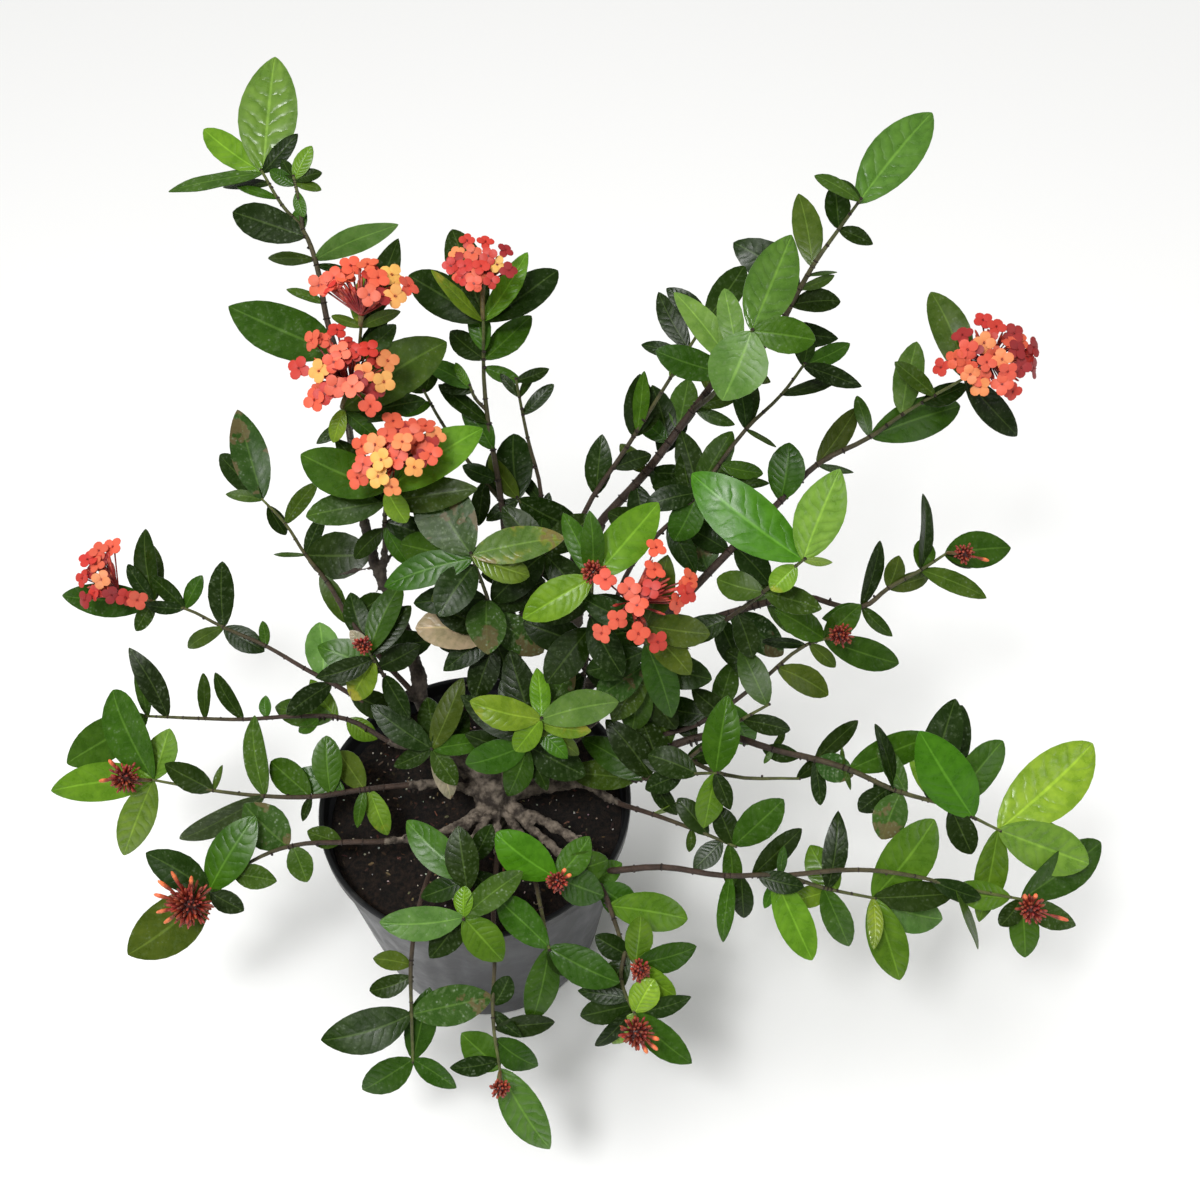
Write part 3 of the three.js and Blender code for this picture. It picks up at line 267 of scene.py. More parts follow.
def petalMaterial():
    made, tree, shader = newMaterial("petal", 0.5)
    where = placeOf(tree)
    spot = addNode(tree, "UVMap", uv_map="leafMap").outputs[0]
    offset = addNode(tree, "VectorMath", {0: spot, 1: (0.5, 0.5, 0)}, operation="SUBTRACT").outputs[0]
    reach = addNode(tree, "VectorMath", {0: offset}, operation="LENGTH").outputs["Value"]
    tint = tintOf(tree)
    blotch = noiseOf(tree, where, petalFinish["blotch"], 2.0)
    color = mixColor(tree, ramp(tree, blotch, 0.3, 0.7, 0.0, 0.3), tint,
                     mixColor(tree, 1.0, tint, petalFinish["light"], "MULTIPLY"))
    deep = mixColor(tree, 1.0, tint, petalFinish["deep"], "MULTIPLY")
    color = mixColor(tree, ramp(tree, reach, 0.03, 0.14, 0.45, 0.0), color, deep)  # round the throat
    color = mixColor(tree, ramp(tree, reach, 0.4, 0.5, 0.0, 0.3), color, deep)  # at the petals' ends
    tree.links.new(color, shader.inputs["Base Color"])
    bump(tree, shader, noiseOf(tree, where, petalFinish["grain"], 2.0), 0.25, 0.0004)
    return made


def tintedMaterial(name, roughness, scale):
    made, tree, shader = newMaterial(name, roughness)
    where = placeOf(tree)
    tint = tintOf(tree)
    blotch = noiseOf(tree, where, scale, 3.0, 0.6)
    color = mottled(tree, tint, blotch, 0.7, ((0.7, 1.3), (0.65, 1.35), (0.7, 1.3)))
    tree.links.new(color, shader.inputs["Base Color"])
    bump(tree, shader, blotch, 0.4, 0.0006)
    return made


potFinish = {"dark": shade(42, 43, 47), "light": shade(57, 58, 63), "band": shade(20, 21, 23),
             "dust": shade(96, 94, 90), "bandFrom": 0.176, "bandTo": 0.179, "stretch": (1, 1, 0.12)}


def potMaterial():
    made, tree, shader = newMaterial("potPlastic", 0.4)
    where = placeOf(tree)
    stretched = addNode(tree, "Mapping", {"Vector": where, "Scale": potFinish["stretch"]}).outputs[0]
    streak = noiseOf(tree, stretched, 45.0, 3.0)
    dust = noiseOf(tree, where, 30.0, 4.0, 0.65)
    color = mixColor(tree, ramp(tree, streak, 0.35, 0.7), potFinish["dark"], potFinish["light"])
    height = addNode(tree, "SeparateXYZ", {0: where}).outputs[2]
    band = ramp(tree, height, potFinish["bandFrom"], potFinish["bandTo"])
    color = mixColor(tree, band, color, potFinish["band"])
    color = mixColor(tree, ramp(tree, dust, 0.55, 0.8, 0.0, 0.3), color, potFinish["dust"])
    tree.links.new(color, shader.inputs["Base Color"])
    tree.links.new(ramp(tree, dust, 0.3, 0.7, 0.34, 0.52), shader.inputs["Roughness"])
    bump(tree, shader, plus(tree, streak, noiseOf(tree, where, 900.0, 1.0)), 0.12, 0.0006)
    return made


soilFinish = {"dark": shade(8, 6, 5), "light": shade(42, 31, 24), "damp": shade(18, 14, 12)}


def soilMaterial():
    made, tree, shader = newMaterial("soil", 0.95)
    where = placeOf(tree)
    clod = noiseOf(tree, where, 260.0, 4.0, 0.7)
    patch = noiseOf(tree, where, 40.0, 2.0)
    color = mixColor(tree, ramp(tree, clod, 0.35, 0.7), soilFinish["dark"], soilFinish["light"])
    color = mixColor(tree, ramp(tree, patch, 0.4, 0.7, 0.0, 0.5), color, soilFinish["damp"])
    tree.links.new(color, shader.inputs["Base Color"])
    bump(tree, shader, clod, 1.0, 0.003)
    return made


leafTop = leafMaterial("leafTop", False)
leafUnder = leafMaterial("leafUnder", True)
stemSkin = woodMaterial("stemSkin", (0.75, 0.72, 0.7, 1), (1.35, 1.3, 1.25, 1), 130.0, 0.6, True)
bark = woodMaterial("bark", shade(46, 38, 32), shade(134, 122, 108), 95.0)
petalSkin = petalMaterial()
tubeSkin = tintedMaterial("tubeSkin", 0.45, 300.0)
potPlastic = potMaterial()
soilMix = soilMaterial()
crumbSkin = tintedMaterial("crumbSkin", 0.9, 500.0)
floor.data.materials.append(newMaterial("floorPaint", 0.7, studio["floor"])[0])
print("materials ready")


def pickNone():
    bpy.ops.object.select_all(action="DESELECT")


def pickOnly(*pieces):
    pickNone()
    for piece in pieces:
        piece.select_set(True)
    bpy.context.view_layer.objects.active = pieces[0]


def applyModifier(piece, kind, **settings):
    pickOnly(piece)
    bpy.ops.object.modifier_add(type=kind)
    modifier = piece.modifiers[-1]
    for key, value in settings.items():
        setattr(modifier, key, value)
    bpy.ops.object.modifier_apply(modifier=modifier.name)


def pointsOf(piece):
    found = np.empty(len(piece.data.vertices) * 3)
    piece.data.vertices.foreach_get("co", found)
    return found.reshape(-1, 3)


def movePoints(piece, places):
    piece.data.vertices.foreach_set("co", np.asarray(places, float).reshape(-1))
    piece.data.update()


def paint(piece, name, colors):  # one colour for the piece, or one for each point
    spread = np.ones((len(piece.data.vertices), 4))
    spread[:, :] = colors
    layer = piece.data.color_attributes.new(name, "FLOAT_COLOR", "POINT")
    layer.data.foreach_set("color", spread.reshape(-1))


def dress(piece, material):
    piece.data.materials.clear()
    piece.data.materials.append(material)


def copyOf(model):
    piece = model.copy()
    piece.data = model.data.copy()
    scene.collection.objects.link(piece)
    return piece


def smooth(angle):  # degrees, on what is picked
    bpy.ops.object.shade_smooth_by_angle(angle=math.radians(angle))


def joined(name, pieces):
    pickOnly(*pieces)
    bpy.ops.object.join()
    whole = bpy.context.object
    whole.name = name
    whole.data.name = name
    return whole


def hand(piece, node):  # the piece stands for that CAD node
    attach(piece, "root")
    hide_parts(node)


def tubes(name, runs, sides, steps=4):  # each run is a path and its radii, in mm
    bpy.ops.curve.primitive_bezier_curve_add()
    piece = bpy.context.object
    curve = piece.data
    curve.splines.clear()
    curve.dimensions = "3D"
    curve.bevel_depth = mm
    curve.bevel_resolution = (sides - 4) // 2
    curve.use_fill_caps = True
    curve.resolution_u = steps
    for path, radii in runs:
        spline = curve.splines.new("BEZIER")
        spline.bezier_points.add(len(path) - 1)
        for knot, place, radius in zip(spline.bezier_points, path, radii):
            knot.co = Vector(place) * mm
            knot.radius = radius
        for knot in spline.bezier_points:
            knot.handle_left_type = knot.handle_right_type = "AUTO"
    piece.location = (0, 0, 0)
    pickOnly(piece)
    bpy.ops.object.convert(target="MESH")
    piece = bpy.context.object
    piece.name = name
    smooth(60)
    return piece


def selectPoints(test):  # picks the points of the mesh in edit mode that pass the test
    bpy.ops.mesh.select_all(action="DESELECT")
    bpy.ops.object.mode_set(mode="OBJECT")
    for point in bpy.context.object.data.vertices:
        point.select = test(point.co)
    bpy.ops.object.mode_set(mode="EDIT")


def spun(name, profile, steps):  # a closed shape from its half outline of radius and height, in mm
    pickNone()
    bpy.ops.mesh.primitive_plane_add(size=mm)
    piece = bpy.context.object
    piece.name = name
    bpy.ops.object.mode_set(mode="EDIT")
    bpy.ops.mesh.select_mode(type="VERT")
    bpy.ops.mesh.merge(type="CENTER")
    radius, height = profile[0]
    bpy.ops.transform.translate(value=(radius * mm, 0, height * mm))
    for (r0, h0), (r1, h1) in zip(profile, profile[1:]):
        step = ((r1 - r0) * mm, 0, (h1 - h0) * mm)
        bpy.ops.mesh.extrude_region_move(TRANSFORM_OT_translate={"value": step})
    bpy.ops.mesh.select_all(action="SELECT")
    bpy.ops.mesh.spin(steps=steps, angle=math.tau, center=(0, 0, 0), axis=(0, 0, 1))
    bpy.ops.mesh.select_all(action="SELECT")
    bpy.ops.mesh.remove_doubles(threshold=0.02 * mm)
    bpy.ops.mesh.normals_make_consistent(inside=False)
    bpy.ops.object.mode_set(mode="OBJECT")
    smooth(40)
    return piece


# The way the plant grows: paths in mm, and leaves by their clock angle in the plane that faces the light
lightRise = math.radians(48)
right = Vector((1, 0, 0))
across = Vector((0, math.sin(lightRise), math.cos(lightRise)))
light = Vector((0, -math.cos(lightRise), math.sin(lightRise)))


def direction(clock, lean=0.0):
    flat = right * math.cos(math.radians(clock)) + across * math.sin(math.radians(clock))
    return flat * math.cos(math.radians(lean)) + light * math.sin(math.radians(lean))


def inPlane(step, height):
    return right * step[0] + across * step[1] + light * height


def endWay(path):
    return (Vector(path[-1]) - Vector(path[-2])).normalized()


def pointOn(path, at):
    i = min(int(at), len(path) - 2)
    return Vector(path[i]).lerp(Vector(path[i + 1]), at - i)


def taper(path, thick, slim):
    return [thick + (slim - thick) * i / (len(path) - 1) for i in range(len(path))]


# Limbs of the woody base: radius at the start and at the end, and the path
limbs = {
    "left": (8.5, 4.5, [
        (14, 0, 208), (-10, 15, 222), (-35, 35, 250), (-45, 65, 285), (-55, 85, 310), (-70, 100, 355),
        (-76, 112, 395)]),
    "left_front": (4, 3, [(-66, 97, 345), (-63, 98, 362), (-60, 95, 378)]),
    "back": (8, 5, [(20, -4, 208), (33, 45, 260), (30, 95, 320)]),
    "back_fork": (4.5, 3.5, [(32, 66, 286), (48, 110, 322), (52, 122, 340)]),
    "upper_right": (8.5, 5.5, [(26, 0, 208), (60, 55, 245), (85, 115, 300), (100, 150, 350)]),
    "upper_side": (4.5, 3.5, [(83, 110, 295), (76, 118, 315), (78, 122, 332)]),
    "right": (8, 5.5, [(28, 2, 206), (52, 30, 225), (100, 70, 262), (165, 105, 310)]),
    "right_side": (4, 3, [(98, 68, 260), (106, 88, 285), (110, 98, 305)]),
    "far_right": (7, 5, [(30, 0, 204), (80, 30, 232), (115, 58, 250), (150, 78, 272), (180, 98, 290)]),
    "inner_right": (4, 3, [(150, 78, 272), (158, 70, 290), (164, 66, 302)]),
    "flat": (7.5, 6, [(26, -3, 200), (75, 2, 208), (118, 2, 218)]),
    "flat_side": (3.5, 3, [(92, 2, 211), (104, -6, 221), (112, -13, 229)]),
    "flat_low": (3.5, 3, [(84, 2, 209), (104, -16, 215), (116, -28, 223)]),
    "mid_flat": (4, 3.2, [(100, 2, 213), (124, 12, 236), (140, 14, 252)]),
    "low_right": (5.5, 4, [(24, -10, 196), (75, -46, 208), (105, -85, 222)]),
    "mid_fork": (4, 3.2, [(118, 60, 252), (126, 45, 262), (130, 38, 272)]),
    "middle": (4, 3.2, [(72, 47, 242), (82, 40, 262), (85, 37, 275)]),
    "left_mid": (5, 4, [(-16, 20, 228), (-38, 40, 254), (-50, 50, 268)]),
    "left_inner": (3.6, 3, [(-38, 42, 262), (-50, 36, 276), (-56, 33, 288)]),
    "left_long": (5, 3.6, [(8, 2, 204), (-25, 18, 215), (-55, 28, 232), (-66, 34, 245)]),
    "left_flat": (3.6, 3, [(-40, 23, 224), (-56, 20, 232), (-68, 22, 237)]),
    "left_low": (5, 4, [(6, -4, 202), (-20, -2, 211), (-50, -10, 222)]),
    "left_front_low": (4.5, 3.6, [(12, -12, 196), (-25, -42, 203), (-65, -55, 213)]),
    "near_left": (4, 3.2, [(16, -14, 194), (-12, -44, 203), (-24, -68, 209)]),
    "near": (4, 3.2, [(17, -14, 196), (6, -44, 208), (5, -60, 216)]),
    "near_low": (4, 3.2, [(20, -16, 192), (20, -42, 200), (22, -62, 206)]),
    "near_right": (4.5, 3.5, [(22, -14, 196), (40, -50, 210), (45, -68, 218)]),
    "near_side": (4.5, 3.5, [(26, -12, 194), (60, -52, 205), (76, -72, 213)]),
    "centre": (4.5, 3.5, [(19, -4, 205), (30, -4, 232), (33, -6, 244)]),
    "centre_back": (4, 3.2, [(33, 56, 272), (24, 54, 292), (22, 53, 304)]),
    "centre_left": (3.6, 3, [(-22, 25, 236), (-24, 10, 245), (-26, 3, 251)]),
    "inner_back": (4, 3.2, [(31, 82, 305), (44, 84, 322), (48, 84, 334)]),
}

# Shoots: the limb that each grows from, then its main stem and its twigs. Each stem has its radius at the
# start, its path, and its leaves: place along the path, clock angle, length, breadth as a share of it, and
# tone. A capital letter is a small leaf that only the finished plant has, and a "+" makes a leaf stand up.
shoots = {
    "upper_left": ("left", [
        (4, [(-76, 112, 395), (-80, 135, 460), (-80, 145, 500), (-90, 170, 530), (-95, 190, 560),
         (-105, 210, 575), (-120, 225, 585), (-135, 245, 600)],
         [(7, 86, 85, .5, "h"), (7, 142, 57, .34, "b"), (7, 192, 62, .26, "g"), (7, 46, 34, .4, "d"),
          (6.6, 175, 38, .26, "d"), (6.2, 165, 28, .28, "M"), (4.8, 161, 51, .48, "d"),
          (5, 105, 18, .6, "M"), (4.15, 177, 34, .2, "g"), (4.15, 22, 60, .24, "w"), (4, -10, 25, .3, "D"),
          (3.3, 160, 26, .3, "G"), (2.4, 156, 84, .54, "m")]),
        (1.8, [(-105, 210, 575), (-107, 222, 592), (-110, 232, 603)],
         [(2, 122, 17, .5, "D"), (2, 60, 24, .5, "b"), (1.8, 18, 19, .5, "D"), (1.7, -15, 18, .45, "G"),
          (1.3, -75, 17, .5, "M"), (1.6, 150, 20, .5, "M")]),
        (2.4, [(-80, 137, 467), (-68, 142, 510), (-58, 131, 553)],
         [(2, 160, 20, .35, "O"), (2, 25, 28, .28, "O"), (2, 69, 66, .3, "d"), (2, 87, 50, .4, "y"),
          (1.2, 42, 34, .45, "g"), (1.1, 58, 40, .25, "D"), (1.5, -35, 22, .5, "B")]),
        (2.4, [(-79, 130, 446), (-76, 121, 475), (-76, 113, 498)],
         [(2, 36, 86, .42, "g"), (1.5, 12, 54, .36, "d"), (2, 250, 24, .5, "Y"), (1.8, -40, 32, .4, "m"),
          (1.2, 215, 26, .4, "D")]),
    ]),
    "left_front": ("left_front", [
        (3, [(-60, 95, 378), (-54, 88, 420), (-46, 73, 460)],
         [(2, 157, 67, .54, "m"), (2, 34, 78, .46, "b"), (1.5, 190, 54, .42, "g"), (1.5, 8, 64, .42, "g"),
          (2, -62, 26, .6, "Y"), (2, 83, 54, .34, "m"), (2, 64, 56, .24, "g"), (1.5, 128, 54, .3, "d"),
          (.8, -22, 46, .48, "d"), (.6, 222, 32, .45, "d"), (.7, -60, 34, .4, "m")]),
    ]),
    "back": ("back", [
        (4.4, [(30, 95, 320), (25, 135, 390), (15, 175, 455), (17, 187, 518)],
         [(3, 147, 66, .42, "d"), (3, 38, 67, .44, "d"), (3, 109, 76, .34, "d"), (3, 57, 56, .34, "b"),
          (3, 136, 47, .24, "y"), (2.5, 45, 47, .5, "m"), (2.5, 138, 37, .5, "d"), (2.6, 99, 33, .5, "m"),
          (2.4, -20, 28, .45, "M"), (1.5, 125, 40, .5, "m"), (1.2, 158, 28, .5, "D"),
          (1.76, 142, 46, .3, "d")]),
        (2, [(16, 172, 446), (8, 171, 459), (5, 171, 471)],
         [(2, 151, 40, .42, "m"), (2, 122, 20, .34, "B"), (1.5, 170, 26, .4, "D")]),
    ]),
    "back_right": ("back_fork", [
        (3, [(52, 122, 340), (55, 145, 385), (46, 158, 432), (40, 157, 488)],
         [(3, 24, 26, .38, "D"), (2.7, 130, 21, .34, "D"), (2.7, 60, 21, .3, "D"), (2.4, 44, 30, .34, "d"),
          (.9, 128, 30, .34, "d"), (.5, 75, 26, .4, "D")]),
        (2.6, [(53, 126, 350), (22, 151, 376), (0, 165, 400), (-20, 178, 430), (-30, 176, 462)],
         [(4, 141, 30, .5, "D"), (4, 72, 24, .55, "D"), (3.6, 200, 24, .45, "M"), (1, 98, 38, .45, "d"),
          (1.5, 262, 34, .45, "d")]),
        (2.6, [(53, 130, 358), (45, 135, 374), (37, 138, 390)],
         [(2, 95, 52, .56, "d"), (1.9, 124, 38, .45, "o"), (2, -26, 52, .46, "d"), (2, 214, 28, .45, "D")]),
    ]),
    "upper_right": ("upper_right", [
        (5, [(100, 150, 350), (135, 165, 390), (170, 190, 430), (190, 200, 455), (225, 205, 485),
         (245, 220, 520), (255, 225, 540), (270, 235, 560), (280, 225, 590)],
         [(7.85, 51, 86, .43, "e"), (8, 149, 35, .36, "g"), (8, 124, 22, .5, "D"), (7, 94, 33, .6, "d"),
          (7, -22, 26, .5, "D"), (5.8, 99, 56, .4, "o"), (5.5, 8, 21, .2, "G"), (5, 20, 26, .26, "G"),
          (4.7, 4, 36, .5, "d"), (4.2, -4, 48, .46, "D"), (5, 145, 56, .5, "D"), (3.3, -20, 30, .4, "O"),
          (2.8, 68, 24, .4, "Y"), (2.6, 102, 28, .36, "O"), (2.2, 14, 34, .4, "g"),
          (2.1, -22, 32, .34, "g"), (1.7, 78, 42, .58, "g"), (1.5, 105, 46, .5, "d"), (1, 131, 28, .5, "O"),
          (1, -2, 42, .38, "D"), (1.1, -45, 48, .52, "d"), (.8, -80, 46, .5, "D"), (1.3, 66, 46, .5, "D"),
          (1.5, 140, 34, .5, "M")]),
        (3, [(172, 190, 433), (184, 160, 475), (200, 122, 556)],
         [(2, 67, 72, .52, "e"), (2, 247, 48, .86, "w"), (2, -10, 40, .55, "m"), (1.6, 100, 48, .36, "w"),
          (1.45, 128, 62, .34, "w"), (1.3, 164, 50, .42, "m")]),
    ]),
    "upper_side": ("upper_side", [
        (3.4, [(78, 122, 332), (87, 128, 380), (120, 155, 425), (145, 170, 465), (175, 171, 530)],
         [(4, 56, 52, .42, "d"), (4, 142, 34, .46, "d"), (3.6, 117, 46, .4, "d"), (3.5, 162, 32, .34, "D"),
          (3.2, 65, 22, .4, "Y"), (2.2, 66, 36, .6, "d"), (2.3, 84, 42, .28, "m"), (1.3, 84, 44, .5, "d"),
          (1.7, 20, 30, .45, "d"), (2.2, 84, 46, .55, "D")]),
    ]),
    "right_side": ("right_side", [
        (3, [(110, 98, 305), (125, 115, 340), (170, 135, 390), (210, 170, 430), (235, 180, 455),
         (250, 185, 480)],
         [(5, 103, 30, .38, "D"), (5, 78, 30, .38, "d"), (5, 28, 45, .34, "m"), (5, -20, 44, .34, "d"),
          (4, 18, 49, .24, "d"), (3, 99, 41, .36, "d"), (3, 77, 43, .36, "d"), (3, -30, 26, .22, "G"),
          (2.5, -10, 34, .4, "m"), (2.2, 2, 48, .24, "D"), (2, 100, 38, .5, "d"), (1.6, -60, 40, .5, "d"),
          (1.4, 150, 42, .5, "D"), (2.1, 104, 50, .5, "D"), (2.1, 60, 52, .46, "G"),
          (2.1, 170, 36, .44, "D"), (2.1, 194, 40, .5, "D"), (2.1, 244, 40, .6, "M"),
          (2.1, 30, 30, .5, "D")]),
    ]),
    "right": ("right", [
        (4.8, [(165, 105, 310), (205, 130, 345), (245, 160, 370), (270, 180, 385), (310, 190, 405),
         (335, 200, 420), (375, 195, 460)],
         [(6, 110, 70, .38, "g"), (6, -41, 64, .34, "d"), (4.95, 78, 56, .42, "w"),
          (5.5, 140, 38, .38, "g"), (5, 95, 24, .5, "Y"), (5.3, 22, 38, .5, "d"), (4, 19, 79, .4, "m"),
          (4, 106, 34, .32, "g"), (3, 55, 54, .36, "o"), (3, -10, 31, .16, "g"), (1.9, 82, 44, .66, "m"),
          (1, -48, 38, .6, "d"), (.5, 112, 54, .72, "s"), (.9, 150, 42, .5, "d")]),
    ]),
    "inner_right": ("inner_right", [
        (3.4, [(164, 66, 302), (188, 45, 350), (215, 36, 395), (240, 35, 430)],
         [(3, 141, 97, .42, "f"), (3, 68, 66, .56, "l"), (3, -5, 20, .32, "L"), (2.8, 225, 24, .7, "Y"),
          (2, 163, 34, .6, "g"), (2, -16, 42, .5, "g"), (1.4, -70, 36, .5, "d"), (1.2, 200, 40, .5, "d")]),
    ]),
    "far_right": ("far_right", [
        (4.4, [(180, 98, 290), (225, 100, 310), (255, 100, 320), (300, 80, 330), (320, 90, 340),
         (345, 100, 350),
         (365, 110, 358)],
         [(6, 6, 58, .54, "m"), (6, -26, 24, .34, "D"), (5, 85, 58, .25, "d"), (5, 75, 26, .7, "M"),
          (5, -22, 56, .32, "g"), (4, 70, 26, .66, "O"), (4, 15, 38, .4, "o"), (3, 75, 51, .28, "d"),
          (3, -42, 34, .36, "g"), (3, 198, 30, .6, "m"), (2, 172, 40, .5, "g"), (1.2, -50, 32, .34, "g"),
          (.5, -36, 58, .46, "s"), (.3, -65, 48, .5, "d"), (.9, 95, 34, .5, "D")]),
    ]),
    "far_right_low": ("mid_flat", [
        (3, [(140, 14, 252), (175, 12, 272), (220, 30, 300), (255, 50, 320), (270, 50, 328)],
         [(4, 149, 42, .55, "m"), (4, 44, 36, .6, "m"), (4, -18, 61, .38, "m"), (3.2, -41, 28, .42, "O"),
          (3, 176, 32, .26, "d"), (2.4, -28, 47, .44, "o"), (2.2, 150, 36, .5, "D"),
          (1.5, -60, 42, .5, "f"), (1.2, 170, 44, .5, "d"), (1.3, 70, 40, .5, "g")]),
    ]),
    "low_flat": ("flat", [
        (5.2, [(118, 2, 218), (150, 8, 245), (190, 10, 260), (230, -10, 270), (280, -30, 275),
         (315, -50, 275),
         (355, -60, 268), (390, -75, 260)],
         [(7, 39, 97, .44, "v"), (7, -22, 71, .5, "l"), (7, -20, 62, .56, "L+"), (6.45, 124, 76, .5, "F+"),
          (6.4, 112, 50, .45, "M"), (7, 260, 69, .42, "b"), (6.2, 120, 63, .48, "b"), (6, 50, 61, .46, "m"),
          (5.6, 74, 76, .36, "d"), (5.8, 66, 76, .34, "d"), (6, -66, 36, .55, "d"), (4.1, 22, 62, .4, "m"),
          (4.9, 222, 28, .6, "d"), (5.2, 118, 40, .4, "s"), (5, 108, 50, .24, "d"), (5.1, 248, 36, .7, "s"),
          (4.6, -55, 34, .5, "D"), (4, 95, 14, .2, "G"), (4, -75, 16, .22, "G"), (3.6, 42, 42, .36, "d"),
          (3.6, -22, 28, .8, "s"), (3.6, -82, 34, .36, "d"), (3.4, 172, 28, .5, "D"), (3, 60, 16, .4, "G"),
          (3, 238, 12, .4, "G"), (2.3, 205, 40, .5, "d"), (1.6, 120, 40, .5, "D")]),
        (2.6, [(152, 8, 246), (195, -18, 248), (250, -27, 256)],
         [(2, 40, 30, .4, "d")]),
    ]),
    "bright_pair": ("flat_side", [
        (3, [(112, -13, 229), (150, -30, 265), (185, -45, 290)],
         [(2, 81, 54, .52, "f"), (2, 260, 43, .52, "b"), (2, -68, 28, .5, "D"), (1.6, 160, 38, .6, "d"),
          (1.3, 205, 30, .6, "D"), (.9, 110, 44, .5, "d"), (.6, 150, 58, .46, "M"), (.7, 128, 54, .48, "D"),
          (.4, 176, 52, .46, "G"), (.7, -56, 34, .45, "d")]),
        (2, [(151, -30, 266), (198, -10, 301), (223, -5, 319)],
         [(2, 113, 46, .5, "g"), (1.25, -13, 36, .44, "d"), (1, 140, 40, .5, "d")]),
    ]),
    "flat_low": ("flat_low", [
        (3, [(116, -28, 223), (140, -45, 235), (175, -65, 242), (200, -76, 240)],
         [(3, 44, 48, .54, "m"), (3, 112, 30, .6, "d"), (2.8, -86, 34, .42, "m"), (2.6, 224, 29, .62, "D"),
          (1.8, -95, 18, .42, "G"), (1, 20, 28, .2, "Y"), (2.2, 130, 34, .5, "d")]),
    ]),
    "low_right": ("low_right", [
        (3.6, [(105, -85, 222), (145, -90, 235), (190, -100, 240), (230, -100, 240), (265, -105, 230),
         (300, -110, 225)],
         [(5, 51, 72, .5, "b"), (5, -20, 61, .47, "w"), (5, -72, 62, .46, "b"), (5, -94, 30, .34, "v"),
          (5, 4, 56, .38, "d"), (4, 81, 55, .36, "d"), (4.2, 120, 36, .7, "b"), (3.92, -66, 52, .42, "m"),
          (4.08, 206, 30, .48, "y"), (2.5, 39, 50, .4, "d"), (3, 80, 21, .42, "M"),
          (2.9, -66, 66, .37, "b"), (3, 246, 26, .28, "M"), (2.3, -85, 34, .46, "d"),
          (2.1, 263, 47, .25, "m"), (2.6, -12, 32, .5, "d")]),
        (2.4, [(232, -100, 240), (285, -101, 250), (325, -105, 248), (355, -110, 242), (405, -115, 232)],
         [(4, 33, 72, .46, "m"), (4, -27, 50, .4, "g"), (4, -82, 46, .46, "m"), (4, 232, 24, .6, "D"),
          (3.8, 172, 40, .5, "b"), (3, -70, 44, .17, "g"), (2.4, -20, 36, .4, "d")]),
    ]),
    "near_side": ("near_side", [
        (3.2, [(76, -72, 213), (100, -98, 222), (110, -125, 222), (118, -147, 218), (126, -157, 214)],
         [(4, 82, 32, .62, "b"), (4, 11, 46, .48, "m"), (4, -40, 37, .44, "b"), (3.4, 150, 28, .66, "D"),
          (3.2, 238, 38, .5, "d"), (1.6, -12, 60, .44, "b"), (1, -35, 32, .75, "m"), (.8, 30, 24, .8, "M"),
          (.9, 150, 30, .55, "D")]),
        (2.2, [(118, -147, 218), (115, -166, 212), (125, -188, 200)],
         [(2, -43, 56, .42, "m"), (2, 60, 27, .8, "V"), (2, 237, 29, .52, "V"), (1.8, 226, 36, .32, "d"),
          (1.5, 176, 36, .42, "d"), (1.7, 200, 40, .5, "d"), (1.9, 10, 42, .38, "d")]),
    ]),
    "near_right": ("near_right", [
        (3.2, [(45, -68, 218), (52, -95, 229), (58, -125, 238), (65, -158, 240)],
         [(3, 143, 50, .52, "m"), (3, -24, 52, .5, "m"), (3, 257, 60, .4, "m"), (2.9, -62, 24, .42, "D")]),
        (2.2, [(53, -96, 230), (62, -100, 240), (70, -106, 247)],
         [(2, 144, 53, .6, "f"), (2, -24, 38, .74, "m"), (2, 50, 37, .62, "m"), (1.4, 14, 42, .6, "m")]),
    ]),
    "near": ("near", [
        (3, [(5, -60, 216), (5, -100, 235), (5, -140, 250)],
         [(2, 181, 55, .42, "w"), (2, 88, 21, .66, "B"), (2, -50, 41, .66, "b"), (2, 36, 50, .42, "g"),
          (1.8, 233, 38, .6, "d"), (1.3, 99, 46, .58, "d"), (1, 139, 62, .42, "m"), (1, 202, 38, .46, "d"),
          (.5, 62, 30, .55, "d"), (.8, -30, 34, .5, "d")]),
    ]),
    "near_left": ("near_left", [
        (3, [(-24, -68, 209), (-32, -115, 218), (-35, -150, 208), (-35, -172, 188), (-35, -200, 150)],
         [(4, 214, 46, .54, "m"), (4, -33, 36, .5, "m"), (4, 77, 52, .46, "m"), (3.2, 194, 62, .5, "d"),
          (3.2, 13, 58, .5, "s"), (2.4, 198, 30, .48, "d"), (2.1, 168, 26, .55, "O")]),
    ]),
    "near_low": ("near_low", [
        (3, [(22, -62, 206), (22, -110, 216), (25, -150, 212), (25, -188, 198), (30, -216, 172)],
         [(4, -61, 72, .4, "e"), (4, 141, 36, .78, "m"), (3.8, 188, 34, .46, "d"), (3.4, -39, 38, .58, "m"),
          (3.2, 2, 42, .42, "d"), (2.8, 60, 22, .7, "d"), (2, 80, 16, .4, "M"), (2.9, -40, 26, .42, "D")]),
    ]),
    "left_front_low": ("left_front_low", [
        (3.2, [(-65, -55, 213), (-95, -60, 220), (-130, -66, 225), (-160, -78, 222), (-190, -100, 215)],
         [(4, 59, 63, .52, "f"), (4, 218, 76, .54, "o"), (4, 148, 53, .52, "d"), (4, -34, 29, .66, "D"),
          (3.4, -8, 32, .62, "g"), (2.1, 136, 46, .8, "s"), (2, -68, 28, .7, "G"), (1, 162, 26, .68, "G")]),
    ]),
    "left_low": ("left_low", [
